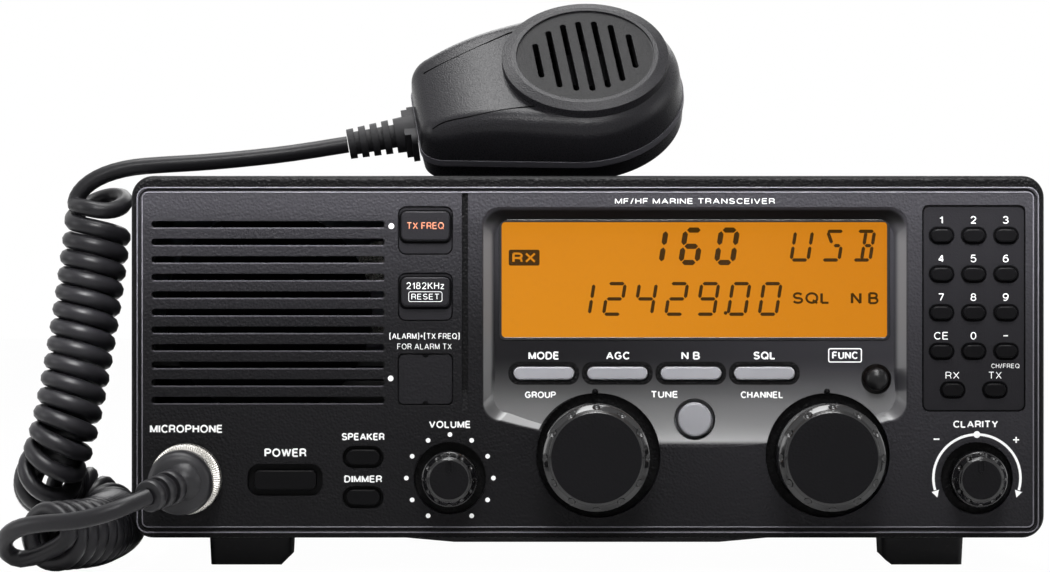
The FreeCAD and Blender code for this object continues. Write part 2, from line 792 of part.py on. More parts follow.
def scoop_outline(inset, depth):
    """The scoop's outline at a depth: straight sides, round corners and one long arc below."""
    half = scoop_width.value / 2 - inset
    top = scoop_top.value - inset
    corner_z = scoop_corner_low.value + inset
    low = scoop_low.value + inset
    r, x, y = 5.5, scoop_centre_x.value, (front + depth).value
    knee = r * 0.3

    def at(dx, z):
        return Vector(x + dx, y, z)

    def arc(start, middle, end):
        return Part.Arc(start, middle, end).toShape()

    def line(start, end):
        return Part.LineSegment(start, end).toShape()

    side_low = corner_z + r
    return Part.Wire([
        line(at(-half + r, top), at(half - r, top)),
        arc(at(half - r, top), at(half - knee, top - knee), at(half, top - r)),
        line(at(half, top - r), at(half, side_low)),
        arc(at(half, side_low), at(half - knee, side_low - r + knee), at(half - r, corner_z)),
        arc(at(half - r, corner_z), at(0, low), at(-half + r, corner_z)),
        arc(at(-half + r, corner_z), at(-half + knee, side_low - r + knee), at(-half, side_low)),
        line(at(-half, side_low), at(-half, top - r)),
        arc(at(-half, top - r), at(-half + knee, top - knee), at(-half + r, top)),
    ])


def scoop_cutter():
    """The recess round the display. Its floor is flat behind the window and rises below it."""
    ahead = scoop_slope * 0.25
    ratio = scoop_slope.value / scoop_depth.value
    start = scoop_outline(-ahead.value * ratio, -ahead)
    end = scoop_outline(scoop_slope.value * 1.5, scoop_depth * 1.5)
    funnel = Part.makeLoft([start, end], True, True)
    y, deep = front.value, (front + scoop_depth).value
    flat_end, low = scoop_floor_end.value, scoop_low.value
    run = flat_end - low
    radius = (run ** 2 + scoop_depth.value ** 2) / (2 * scoop_depth.value)
    half_turn = math.asin(run / radius) / 2
    middle_z = flat_end - radius * math.sin(half_turn)
    middle_y = deep - radius * (1 - math.cos(half_turn))
    over = 10
    # Past the panel's face the floor goes on along its tangent.
    tangent = run / (radius - scoop_depth.value)
    spots = [
        Vector(0, deep, scoop_top.value + over),
        Vector(0, deep, flat_end),
        Vector(0, middle_y, middle_z),
        Vector(0, y, low),
        Vector(0, y - over * tangent, low - over),
        Vector(0, y - over * tangent - over, low - over),
        Vector(0, y - over * tangent - over, scoop_top.value + over),
    ]
    edges = [
        Part.LineSegment(spots[0], spots[1]).toShape(),
        Part.Arc(spots[1], spots[2], spots[3]).toShape(),
        Part.LineSegment(spots[3], spots[4]).toShape(),
        Part.LineSegment(spots[4], spots[5]).toShape(),
        Part.LineSegment(spots[5], spots[6]).toShape(),
        Part.LineSegment(spots[6], spots[0]).toShape(),
    ]
    half = scoop_width.value
    profile = Part.Face(Part.Wire(edges))
    profile.translate(Vector(scoop_centre_x.value - half, 0, 0))
    item = doc.addObject("Part::Feature", "scoop")
    item.Shape = funnel.common(profile.extrude(Vector(2 * half, 0, 0)))
    return item


def make_keypad_panel(keys):
    plate = body("keypad_panel")
    outline = front_sketch(plate, "keypad_plate_outline", keypad_setback + keypad_plate - part_clearance)
    add_rounded(outline, keypad_x, keypad_centre_z, keypad_width - 2 * part_clearance,
                keypad_height - 2 * part_clearance, keypad_corner)
    pad(plate, "keypad_plate", outline, keypad_plate - part_clearance)
    holes = front_sketch(plate, "keypad_hole_outline", 0)
    for _, kind, x, z, length, height, corner, gap, _, zone in keys:
        if zone == "keypad":
            add_outline(holes, kind, x, z, length, height, corner, gap)
    pocket(plate, "keypad_holes", holes)
    piece("keypad_panel", plate)


def make_key(row):
    """A push key: its cap, the flange that keeps it behind the panel, and its stem."""
    name, kind, x, z, length, height, corner, _, cap_front, zone = row
    node = f"{name}_key"
    key = body(node)
    seat = seat_depth(zone)
    flange_back = seat + key_flange
    flange = front_sketch(key, f"{node}_flange_outline", flange_back)
    add_outline(flange, kind, x, z, length, height, corner, key_flange_rim + row[7])
    pad(key, f"{node}_flange", flange, key_flange)
    cap = front_sketch(key, f"{node}_cap_outline", seat)
    add_outline(cap, kind, x, z, length, height, corner)
    last = pad(key, f"{node}_cap", cap, seat - cap_front)
    edge_depth = cap_front
    if name in ("send_frequency", "distress_frequency"):
        raised = front_sketch(key, f"{node}_top_outline", skirt_front)
        top_z = send_key_z if name == "send_frequency" else distress_key_z
        add_rounded(raised, x, top_z, square_key_width, square_key_height, square_key_corner)
        last = pad(key, f"{node}_top", raised, skirt_front - square_key_front)
        edge_depth = square_key_front
    stem_end = board_front - switch_height - key_travel - part_clearance
    stem = front_sketch(key, f"{node}_stem_outline", stem_end)
    add_circle(stem, x, z, key_stem_radius)
    last = pad(key, f"{node}_stem", stem, stem_end - flange_back)
    radius = key_edge_radius * (4 if name == "function" else 1.6 if name == "tune" else 1)
    dress(key, "Fillet", f"{node}_edge", last, lies_at("Y", (front + edge_depth).value), radius)
    piece(node, key)


def make_blank_cover():
    cover = body("blank_cover")
    outline = front_sketch(cover, "blank_cover_outline", plate_thickness)
    add_rounded(outline, square_key_x, blank_cover_z, blank_cover_width, blank_cover_height,
                square_key_corner)
    block = pad(cover, "blank_cover_plate", outline, plate_thickness - seat_clearance)
    flange = front_sketch(cover, "blank_cover_flange_outline", plate_thickness + seat_clearance + key_flange)
    add_rounded(flange, square_key_x, blank_cover_z, blank_cover_width + 2 * key_flange_rim,
                blank_cover_height + 2 * key_flange_rim, square_key_corner)
    last = pad(cover, "blank_cover_flange", flange, key_flange + part_clearance * 2)
    notches = front_sketch(cover, "blank_cover_notch_outline", seat_clearance)
    for side in (-1, 1):
        add_circle(notches, square_key_x, blank_cover_z + side * blank_cover_height / 2, key_edge_radius * 2)
    pocket(cover, "blank_cover_notches", notches, key_flange)
    piece("blank_cover", cover)


def make_window():
    window = body("display_window")
    back = scoop_depth + window_setback + window_thickness
    outline = front_sketch(window, "window_outline", back)
    add_rounded(outline, scoop_centre_x, window_centre_z, window_width, window_height, window_corner)
    pad(window, "window_plate", outline, window_thickness)
    piece("display_window", window)
    module = body("display_module")
    outline = front_sketch(module, "display_outline", slab_back + part_clearance + display_thickness)
    add_rectangle(outline, scoop_centre_x, window_centre_z, window_width + 2 * display_margin,
                  window_height + 2 * display_margin)
    pad(module, "display_block", outline, display_thickness)
    piece("display_module", module)


def make_display_board(keys):
    """The board behind the panel, with a push switch under each key."""
    board = body("display_board")
    back = board_front + board_thickness
    right = case_width / 2 - bezel_wall - board_margin
    low = foot_height + bezel_wall + board_margin
    high = foot_height + case_height - bezel_wall - board_margin
    outline = front_sketch(board, "board_outline", back)
    add_polygon(outline, [
        (board_strip_left, low), (right, low), (right, high), (board_left, high),
        (board_left, board_strip_top), (board_strip_left, board_strip_top),
    ])
    pad(board, "board_plate", outline, board_thickness)
    switches = front_sketch(board, "switch_outline", board_front + board_thickness / 2)
    for row in keys:
        add_circle(switches, row[2], row[3], switch_radius)
    pad(board, "switches", switches, switch_height + board_thickness / 2)
    piece("display_board", board)


def make_rotary_controls():
    """The encoders and volume controls on the board, with the bushings that hold the shafts."""
    solids = []
    for name, x, z, _, depth in knob_table:
        bushing_front = depth + well_floor + seat_clearance
        body_front = board_front - part_clearance - control_height
        base = box(f"{name}_control_base", control_width, control_height, control_width,
                   x - control_width / 2, front + body_front, z - control_width / 2)
        bushing = rod(f"{name}_bushing", shaft_radius + bushing_wall, body_front - bushing_front + 1,
                      x, front + bushing_front, z)
        bore = rod(f"{name}_bore", shaft_radius + shaft_clearance, body_front - bushing_front + 4,
                   x, front + bushing_front - 1, z)
        solids.append(cut(f"{name}_control", fuse(f"{name}_control_solid", base, bushing), bore))
    piece("rotary_controls", group("rotary_controls", *solids))


def make_knob(name, x, z, radius, face_radius, reach, well_depth, dimple, pointer):
    """A turned knob with a dimpled crown, and the shaft that it turns."""
    knob = body(f"{name}_knob_body")
    base = well_depth - knob_floor_gap
    profile = sketch(knob, f"{name}_profile", "YZ_Plane", 0)
    bevel = (radius - face_radius) * 0.75
    add_polygon(profile, [
        (base, 0), (base, radius + 0.3), (bevel - reach, radius),
        (-reach + 0.7, face_radius + 0.6), (-reach + 0.7, face_radius),
        (-reach, face_radius - 0.5), (-reach, 0),
    ])
    turned = knob.newObject("PartDesign::Revolution", f"{name}_turned")
    turned.Profile = profile
    turned.ReferenceAxis = (profile, ["H_Axis"])
    bind(turned, "Angle", 360)
    notch = sketch(knob, f"{name}_dimple_outline", "XZ_Plane", reach + 1)
    add_circle(notch, 0, radius + dimple * 0.35, dimple)
    hollow = pocket(knob, f"{name}_dimple", notch)
    ring = knob.newObject("PartDesign::PolarPattern", f"{name}_dimples")
    ring.Originals = [hollow]
    ring.Axis = (notch, ["N_Axis"])
    bind(ring, "Angle", 360)
    bind(ring, "Occurrences", dimple_count)
    knob.Tip = ring
    if pointer:
        bar = sketch(knob, f"{name}_pointer_outline", "XZ_Plane", reach - 0.3)
        add_rounded(bar, as_size(0), face_radius - 0.9 - pointer_length / 2, pointer_width,
                    pointer_length, pointer_width * 0.45)
        pad(knob, f"{name}_pointer", bar, pointer_height + 0.3)
    bore = sketch(knob, f"{name}_shaft_hole", "XZ_Plane", -base)
    add_circle(bore, 0, 0, shaft_radius)
    hole = pocket(knob, f"{name}_bore_in_knob", bore, shaft_grip)
    hole.Reversed = True
    place(knob, x, front, z)
    shaft_end = board_front - part_clearance - control_height + 2
    shaft = rod(f"{name}_shaft", shaft_radius, shaft_end - base + shaft_grip,
                x, front + base - shaft_grip, z)
    piece(f"{name}_knob", group(f"{name}_knob", knob, shaft))


def make_speaker():
    speaker = body("speaker")
    profile = sketch(speaker, "speaker_profile", "YZ_Plane", 0)
    start = plate_thickness + seat_clearance
    add_polygon(profile, [
        (start, 0), (start, speaker_radius), (start + 2, speaker_radius),
        (start + speaker_height * 0.6, magnet_radius + 3), (start + speaker_height * 0.6, magnet_radius),
        (start + speaker_height, magnet_radius), (start + speaker_height, 0),
    ])
    turned = speaker.newObject("PartDesign::Revolution", "speaker_turned")
    turned.Profile = profile
    turned.ReferenceAxis = (profile, ["H_Axis"])
    bind(turned, "Angle", 360)
    place(speaker, slot_centre_x, front, slot_top - (slot_count - 1) * slot_pitch / 2)
    piece("speaker", speaker)


def cover_shell(name, low, high):
    """Half of the folded sheet round the chassis, between two heights."""
    shell = body(name)
    length = cover_end - case_start
    outline = front_sketch(shell, f"{name}_outline", cover_end)
    add_rounded(outline, as_size(0), middle_z, cover_width, cover_high - cover_low, cover_corner)
    pad(shell, f"{name}_block", outline, length)
    inner = front_sketch(shell, f"{name}_inner_outline", case_start)
    add_rounded(inner, as_size(0), middle_z, cover_width - 2 * cover_thickness,
                cover_high - cover_low - 2 * cover_thickness, cover_corner - cover_thickness)
    pocket(shell, f"{name}_inside", inner)
    rest = front_sketch(shell, f"{name}_rest_outline", case_start)
    add_rectangle(rest, as_size(0), (low + high) / 2, cover_width + 2, high - low)
    pocket(shell, f"{name}_rest", rest)
    return shell


def make_covers():
    top = cover_shell("top_cover_shell", cover_low - 5, cover_split + part_clearance)
    vent = sketch(top, "vent_outline", "XY_Plane", cover_high)
    first_x = -(vent_count - 1) * vent_pitch / 2
    start = front + vent_start_depth
    add_rounded(vent, first_x, start + vent_length / 2, vent_width, vent_length, vent_width * 0.45)
    first = pocket(top, "vent", vent, cover_thickness * 2)
    repeat(top, "vents", first, "H_Axis", vent_pitch, vent_count)
    bottom = cover_shell("bottom_cover_shell", cover_split - part_clearance, cover_high + 5)
    press = front_sketch(bottom, "press_outline", cover_end - 20)
    add_polygon(press, [
        (-press_foot_half_width, cover_low + cover_thickness / 2),
        (-press_foot_half_width, cover_low),
        (-press_half_width, cover_low - press_depth), (press_half_width, cover_low - press_depth),
        (press_foot_half_width, cover_low),
        (press_foot_half_width, cover_low + cover_thickness / 2),
    ])
    pad(bottom, "press", press, cover_end - 20 - case_start)
    for node, shell in (("top_cover", top), ("bottom_cover", bottom)):
        tools = []
        if node == "top_cover":
            for depth in bracket_depths():
                tools.append(rod(f"bracket_clearance_{depth.value:.0f}", bracket_cover_radius,
                                 cover_width + 4, -cover_width / 2 - 2, front + depth, bracket_bore_z, "X"))
        for i, (x, z, depth, side) in enumerate(screw_places(node)):
            reach = cover_thickness * 2
            start_x = x - (reach if side > 0 else 0)
            tools.append(rod(f"{node}_screw_hole_{i}", screw_radius + part_clearance, reach,
                             start_x, front + depth, z, "X"))
        piece(node, cut(node, shell, *tools))


def bracket_depths():
    return [bracket_front_depth, bracket_front_depth + bracket_spacing]


def screw_places(node):
    """Where the screws of a cover go: (x on the outside, z, depth, side)."""
    z = cover_split + screw_inset if node == "top_cover" else cover_split - screw_inset
    return [
        (side * cover_width / 2, z, case_start + screw_inset + i * screw_pitch, side)
        for side in (-1, 1)
        for i in range(3)
    ]


def make_screws():
    solids = []
    for node in ("top_cover", "bottom_cover"):
        for i, (x, z, depth, side) in enumerate(screw_places(node)):
            head_x = x if side > 0 else x - screw_head_height
            shank_x = x - screw_length if side > 0 else x
            y = front + depth
            head = rod(f"{node}_head_{i}", screw_head_radius, screw_head_height, head_x, y, z, "X")
            shank = rod(f"{node}_shank_{i}", screw_radius, screw_length, shank_x, y, z, "X")
            solids.append(fuse(f"{node}_screw_{i}", head, shank))
    piece("cover_screws", group("cover_screws", *solids))


def make_chassis():
    """The cast frame: side walls, a deck between the two board bays, and the rear wall."""
    frame = body("chassis_frame")
    outline = front_sketch(frame, "chassis_outline", cover_end)
    high = chassis_high - chassis_low
    centre = (chassis_high + chassis_low) / 2
    add_rounded(outline, as_size(0), centre, chassis_width, high, cover_corner - cover_thickness)
    pad(frame, "chassis_block", outline, cover_end - case_start)
    bays = front_sketch(frame, "bay_outline", case_start)
    bay_width = chassis_width - 2 * chassis_wall
    top_bay = chassis_high + 4 - deck_z - deck_thickness / 2
    low_bay = deck_z - deck_thickness / 2 - chassis_low + 4
    add_rectangle(bays, as_size(0), chassis_high + 4 - top_bay / 2, bay_width, top_bay)
    add_rectangle(bays, as_size(0), chassis_low - 4 + low_bay / 2, bay_width, low_bay)
    pocket(frame, "bays", bays, cover_end - case_start - rear_wall)
    bosses, bores = [], []
    for side in (-1, 1):
        for depth in bracket_depths():
            outside = side * chassis_width / 2
            reach = chassis_wall + bracket_boss_length
            start = outside if side < 0 else outside - reach
            tag = f"{'left' if side < 0 else 'right'}_{depth.value:.0f}"
            bosses.append(rod(f"bracket_boss_{tag}", bracket_boss_radius, reach, start, front + depth,
                              bracket_bore_z, "X"))
            bores.append(rod(f"bracket_bore_{tag}", bracket_bore_radius, reach + 2, start - 1,
                             front + depth, bracket_bore_z, "X"))
    for node in ("top_cover", "bottom_cover"):
        for i, (x, z, depth, side) in enumerate(screw_places(node)):
            start = x if side < 0 else x - screw_length - 1
            bores.append(rod(f"{node}_tapped_{i}", screw_radius + shaft_clearance, screw_length + 1,
                             start, front + depth, z, "X"))
    solid = fuse("chassis_with_bosses", frame, *bosses)
    piece("chassis", cut("chassis", solid, *bores, *socket_holes()))


def socket_holes():
    """Holes in the rear wall for the bodies of the sockets."""
    start = front + cover_end - rear_wall - 1
    reach = rear_wall + 2
    gap = part_clearance
    holes = [
        rod("antenna_hole", antenna_radius + gap, reach, antenna_x, start, antenna_z),
        rod("stud_hole", stud_radius + gap, reach, stud_x, start, stud_z),
    ]
    for name, x, z, width, height in box_sockets():
        holes.append(box(f"{name}_hole", width - 2 * socket_wall + 2 * gap, reach,
                         height - 2 * socket_wall + 2 * gap, x - width / 2 + socket_wall - gap,
                         start, z - height / 2 + socket_wall - gap))
    for name, x, z, radius, _ in round_sockets():
        holes.append(rod(f"{name}_hole", radius - socket_wall / 2 + gap, reach, x, start, z))
    return holes


def box_sockets():
    return [
        ("power_inlet", power_inlet_x, power_inlet_z, power_inlet_width, power_inlet_height),
        ("tuner_socket", power_inlet_x, tuner_socket_z, tuner_socket_width, tuner_socket_height),
        ("data_socket", data_socket_x, data_socket_z, data_socket_width, data_socket_height),
    ]


def round_sockets():
    return [
        ("accessory_socket_a", round_socket_x, round_socket_z, round_socket_radius, round_socket_bore),
        ("accessory_socket_b", round_socket_x + round_socket_pitch, round_socket_z,
         round_socket_radius, round_socket_bore),
        ("speaker_jack", jack_x, jack_z, jack_radius, jack_bore),
        ("key_jack", jack_x, jack_z - jack_pitch, jack_radius, jack_bore),
    ]


def make_rear_sockets():
    """Power, tuner, data and accessory sockets. Each has a lip on the rear wall."""
    wall_back = front + cover_end
    solids = []
    for name, x, z, width, height in box_sockets():
        lip = box(f"{name}_lip", width, socket_lip, height, x - width / 2,
                  wall_back + part_clearance, z - height / 2)
        inner_w, inner_h = width - 2 * socket_wall, height - 2 * socket_wall
        tail = box(f"{name}_body", inner_w, socket_body, inner_h, x - inner_w / 2,
                   wall_back + part_clearance + 1 - socket_body, z - inner_h / 2)
        mouth_w, mouth_h = width - 4 * socket_wall, height - 3.4 * socket_wall
        mouth = box(f"{name}_mouth", mouth_w, socket_body, mouth_h, x - mouth_w / 2,
                    wall_back + socket_lip - socket_body + 2, z - mouth_h / 2)
        solids.append(cut(name, fuse(f"{name}_solid", lip, tail), mouth))
    for name, x, z, radius, bore in round_sockets():
        lip = rod(f"{name}_lip", radius, socket_lip, x, wall_back + part_clearance, z)
        tail = rod(f"{name}_body", radius - socket_wall / 2, socket_body, x,
                   wall_back + part_clearance + 1 - socket_body, z)
        mouth = rod(f"{name}_mouth", bore, socket_body, x, wall_back + socket_lip - socket_body + 2, z)
        solids.append(cut(name, fuse(f"{name}_solid", lip, tail), mouth))
    piece("rear_sockets", group("rear_sockets", *solids))


def make_antenna_socket():
    wall_back = front + cover_end + part_clearance
    flange = box("antenna_flange", antenna_flange, 2, antenna_flange, antenna_x - antenna_flange / 2,
                 wall_back, antenna_z - antenna_flange / 2)
    barrel = rod("antenna_barrel", antenna_radius, antenna_length + 8, antenna_x, wall_back - 6, antenna_z)
    hole = rod("antenna_centre_hole", socket_hole_radius, antenna_length, antenna_x, wall_back + 4, antenna_z)
    piece("antenna_socket", cut("antenna_socket", fuse("antenna_solid", flange, barrel), hole))


def make_ground_terminal():
    """The earth stud with its nut, and the wing nut that clamps the strap."""
    wall_back = front + cover_end + part_clearance
    stud = rod("ground_stud", stud_radius, stud_length + 8, stud_x, wall_back - 8, stud_z)
    nut = doc.addObject("Part::Prism", "ground_nut")
    nut.Polygon = 6
    nut.Placement = Placement(Vector(), Rotation(Vector(1, 0, 0), -90))
    bind(nut, "Circumradius", nut_radius)
    bind(nut, "Height", nut_height * 0.6)
    place(nut, stud_x, wall_back, stud_z)
    hub_start = wall_back + nut_height
    hub = rod("wing_hub", stud_radius + 2, nut_height, stud_x, hub_start, stud_z)
    wings = box("wings", wing_span, nut_height, 1.6, stud_x - wing_span / 2, hub_start + 1, stud_z - 0.8)
    bore = rod("wing_bore", stud_radius, nut_height + 4, stud_x, hub_start - 1, stud_z)
    solid = fuse("stud_with_nut", stud, nut)
    wing_nut = cut("wing_nut", fuse("wing_nut_solid", hub, wings), bore)
    piece("ground_terminal", group("ground_terminal", solid, wing_nut))


def make_heat_sink():
    sink = body("heat_sink")
    base_back = cover_end + part_clearance + sink_base
    centre_z = (chassis_high + chassis_low) / 2
    plate = front_sketch(sink, "sink_outline", base_back)
    add_rectangle(plate, sink_left + sink_width / 2, centre_z, sink_width, sink_height)
    pad(sink, "sink_plate", plate, sink_base)
    fin = front_sketch(sink, "fin_outline", case_depth)
    add_rectangle(fin, sink_left + fin_thickness / 2, centre_z, fin_thickness, sink_height)
    first = pad(sink, "fin", fin, case_depth - base_back + 1)
    repeat(sink, "fins", first, "H_Axis", fin_pitch, fin_count)
    piece("heat_sink", sink)


# Parts on the boards, placed and sized as shares of the board. The round parts end in a
# radius and a height.
main_spacers = [(0.06, 0.08), (0.9, 0.08), (0.06, 0.9), (0.9, 0.9)]
shield_cans = [
    (0.1, 0.15, 0.3, 0.3), (0.5, 0.15, 0.38, 0.22), (0.12, 0.55, 0.5, 0.3), (0.7, 0.48, 0.2, 0.36),
]
power_spacers = [(0.06, 0.1), (0.94, 0.1), (0.06, 0.9), (0.94, 0.9)]
power_parts = [(0.2, 0.3, 11, 20), (0.45, 0.3, 14, 16), (0.75, 0.35, 9, 26), (0.3, 0.7, 9, 22)]


def make_boards():
    """The main board hangs under the deck, and the power board stands on it by the rear wall."""
    start = front + case_start + 14
    under = deck_z - deck_thickness / 2 - part_clearance
    plate = box("main_board_plate", main_board_width, main_board_length, board_thickness,
                -main_board_width / 2, start, under - board_standoff - board_thickness)
    parts = [plate]
    for i, (dx, dy) in enumerate(main_spacers):
        parts.append(rod(f"main_spacer_{i}", spacer_radius, board_standoff + board_thickness / 2,
                         (dx - 0.5) * main_board_width, start + dy * main_board_length,
                         under - board_standoff - board_thickness / 2, "Z"))
    for i, (dx, dy, wide, long) in enumerate(shield_cans):
        parts.append(box(f"shield_can_{i}", wide * main_board_width, long * main_board_length, can_height,
                         (dx - 0.5) * main_board_width, start + dy * main_board_length,
                         under - board_standoff - board_thickness - can_height + 0.5))
    piece("main_board", fuse("main_board", *parts))
    deck_top = deck_z + deck_thickness / 2 + part_clearance
    back = front + cover_end - rear_wall - 12
    left = sink_left + sink_width / 2 - power_board_width / 2
    plate = box("power_board_plate", power_board_width, power_board_length, board_thickness,
                left, back - power_board_length, deck_top + board_standoff)
    parts = [plate]
    for i, (dx, dy) in enumerate(power_spacers):
        parts.append(rod(f"power_spacer_{i}", spacer_radius, board_standoff + board_thickness / 2,
                         left + dx * power_board_width, back - dy * power_board_length, deck_top, "Z"))
    for i, (dx, dy, radius, tall) in enumerate(power_parts):
        parts.append(rod(f"power_part_{i}", radius, tall, left + dx * power_board_width,
                         back - dy * power_board_length, deck_top + board_standoff + 0.5, "Z"))
    piece("power_board", fuse("power_board", *parts))


def make_foot(name, side, depth):
    """A moulded foot under the case, wider at its top, with its inner lower edge cut back."""
    foot = body(name)
    outline = sketch(foot, f"{name}_outline", "XY_Plane", 0)
    add_rounded(outline, side * foot_spread, front + depth + foot_length / 2, foot_width, foot_length,
                foot_chamfer * 0.6)
    pad(foot, f"{name}_block", outline, cover_low, foot_draft)
    inner = side * (foot_spread - foot_width / 2)
    over = side * 3
    heel = front_sketch(foot, f"{name}_heel_outline", depth - 5)
    add_polygon(heel, [(inner - over, -over * side), (inner + side * foot_chamfer, -over * side),
                       (inner + side * foot_chamfer, 0), (inner, foot_chamfer), (inner - over, foot_chamfer)])
    pocket(foot, f"{name}_heel", heel)
    return foot


def make_feet():
    solids = [
        make_foot(f"foot_{place_name}_{side_name}", side, depth)
        for place_name, depth in (("front", foot_front_depth), ("rear", foot_rear_depth))
        for side_name, side in (("left", -1), ("right", 1))
    ]
    piece("feet", group("feet", *solids))


def make_mic_socket_and_plug():
    rim = rod("mic_socket_rim", socket_rim, socket_rim_height, socket_x, front - socket_rim_height, socket_z)
    barrel = rod("mic_socket_barrel", socket_radius, plate_thickness + 12, socket_x,
                 front - socket_rim_height, socket_z)
    piece("mic_socket", fuse("mic_socket", rim, barrel))

    ring_back = socket_rim_height + part_clearance
    ring = rod("plug_ring", plug_ring_radius, plug_ring_length, socket_x,
               front - ring_back - plug_ring_length, socket_z)
    dome_back = ring_back + plug_ring_length + part_clearance
    dome = body("plug_dome")
    outline = front_sketch(dome, "plug_dome_outline", -dome_back)
    add_circle(outline, socket_x, socket_z, plug_radius)
    block = pad(dome, "plug_dome_block", outline, plug_length)
    tip = (front - dome_back - plug_length).value
    dress(dome, "Fillet", "plug_dome_edge", block, lies_at("Y", tip), plug_edge)
    boot = doc.addObject("Part::Feature", "plug_boot")
    start = Vector(socket_x.value, tip + 2, socket_z.value - 0.4)
    end = Vector(*tail_route[0])
    along = end - start
    boot.Shape = Part.makeCone(boot_radius.value, boot_end_radius.value, along.Length, start, along)
    piece("mic_plug", group("mic_plug", ring, fuse("plug_moulding", dome, boot)))


# The hand microphone
seam_axis_x = Vector(0.9894, 0.0451, 0.1476)
seam_axis_z = Vector(-0.0821, -0.6869, 0.7249)


def mic_turn():
    """The rotation from the microphone's own frame to the radio's."""
    x = Vector(seam_axis_x).normalize()
    z = Vector(seam_axis_z)
    z = (z - x * z.dot(x)).normalize()
    y = z.cross(x)
    matrix = Matrix(x.x, y.x, z.x, 0, x.y, y.y, z.y, 0, x.z, y.z, z.z, 0, 0, 0, 0, 1)
    return Rotation(matrix)


def mic_outline(inset, height):
    """The microphone's outline at a height over its seam: a round head and a tapered neck."""
    head = head_radius.value - inset
    corner = max(neck_corner.value - inset, 1.2)
    side = max(neck_half_width.value - inset, corner + 0.8)
    end = -neck_length.value + inset
    centre = Vector(end + corner, side - corner)
    gap = math.hypot(centre.x, centre.y)
    lean = math.atan2(centre.y, centre.x) - math.acos((head - corner) / gap)
    out = Vector(math.cos(lean), math.sin(lean))
    touch_head, touch_corner = out * head, centre + out * corner

    def at(spot, flip=1):
        return Vector(spot.x, spot.y * flip, height)

    middle = math.radians(math.degrees(lean) / 2 + 90)
    knee = centre + Vector(math.cos(middle), math.sin(middle)) * corner
    return Part.Wire([
        Part.Arc(at(touch_head, -1), Vector(head, 0, height), at(touch_head)).toShape(),
        Part.LineSegment(at(touch_head), at(touch_corner)).toShape(),
        Part.Arc(at(touch_corner), at(knee), Vector(end, centre.y, height)).toShape(),
        Part.LineSegment(Vector(end, centre.y, height), Vector(end, -centre.y, height)).toShape(),
        Part.Arc(Vector(end, -centre.y, height), at(knee, -1), at(touch_corner, -1)).toShape(),
        Part.LineSegment(at(touch_corner, -1), at(touch_head, -1)).toShape(),
    ])


def mic_loft(levels):
    """A solid through the outline at (inset, height) levels."""
    return Part.makeLoft([mic_outline(inset, height) for inset, height in levels], True, True)


def face_tilted(shape):
    """The grille's face leans a little towards the head's end."""
    return shape.rotate(Vector(0, 0, 0), Vector(0, 1, 0), face_tilt.value)


def face_cut(lift):
    """What lies over the face: flat round the grille, then falling in an arc down the neck."""
    wide, far = 2 * head_radius.value, 3 * head_radius.value
    high, radius = face_height.value + lift, face_fall_radius.value + lift
    bend, turn = -face_flat_reach.value, math.radians(62)
    start = Vector(bend, -wide, high)

    def on_arc(angle):
        return Vector(bend - radius * math.sin(angle), -wide, high - radius + radius * math.cos(angle))

    end = on_arc(turn)
    corners = [end, Vector(end.x, -wide, far), Vector(far, -wide, far), Vector(far, -wide, high), start]
    edges = [Part.Arc(start, on_arc(turn / 2), end).toShape()]
    for here, there in zip(corners, corners[1:]):
        edges.append(Part.LineSegment(here, there).toShape())
    return face_tilted(Part.Face(Part.Wire(edges)).extrude(Vector(0, 2 * wide, 0)))


def rim_edges(shape):
    """The edges between the upright wall and the face."""
    found = []
    for edge in shape.Edges:
        slopes = []
        for face in shape.ancestorsOfType(edge, Part.Face):
            u_low, u_high, v_low, v_high = face.ParameterRange
            slopes.append(abs(face.normalAt((u_low + u_high) / 2, (v_low + v_high) / 2).z))
        if edge.BoundBox.ZMin > gasket_half.value + 2 and min(slopes) < 0.3 and max(slopes) > 0.5:
            found.append(edge)
    return found


def mic_front_block(inset, low):
    """The front shell's outer form, or the hollow inside it for an inset of one wall."""
    top = face_height.value + 10
    block = mic_loft([(inset, low), (inset + shell_taper.value, top)]).cut(face_cut(-inset))
    return block.makeFillet(shoulder_radius.value - 0.8 * inset, rim_edges(block))


def grille_ring():
    """The raised ring and the disc inside it, a step lower than the ring's crest."""
    high, wall = face_height.value, mic_wall.value
    edge_z = high + ring_height.value
    crest_z, floor = edge_z + ring_rise.value, high - wall
    crest_radius = ring_inner_radius.value + 0.3 * (ring_radius.value - ring_inner_radius.value)
    ring = Part.makeCylinder(ring_radius.value, edge_z - floor, Vector(0, 0, floor))
    ring = ring.fuse(Part.makeCone(ring_radius.value, crest_radius, ring_rise.value, Vector(0, 0, edge_z)))
    well = Part.makeCylinder(ring_inner_radius.value, 10, Vector(0, 0, crest_z - grille_recess.value))
    return ring.cut(well)


def grille_slots():
    """The grille's slots, which run across the microphone and end within a circle."""
    floor = face_height.value - mic_wall.value - 5
    count, pitch = int(grille_slot_count.value), grille_slot_pitch.value
    half, reach = grille_slot_width.value / 2, grille_slot_reach.value
    slots = []
    for i in range(count):
        x = (i - (count - 1) / 2) * pitch
        run = math.sqrt(max(reach ** 2 - x ** 2, 1)) - half
        slots.append(Part.makeBox(2 * half, 2 * run, 30, Vector(x - half, -run, floor)))
        for side in (-1, 1):
            slots.append(Part.makeCylinder(half, 30, Vector(x, side * run, floor)))
    return slots[0].fuse(slots[1:])


def mic_front_shape():
    gap, wall = gasket_half.value, mic_wall.value
    shape = mic_front_block(0, gap).cut(mic_front_block(wall, gap - 1))
    shape = shape.fuse(face_tilted(grille_ring())).cut(face_tilted(grille_slots()))
    return shape.cut(talk_key_opening()).removeSplitter()


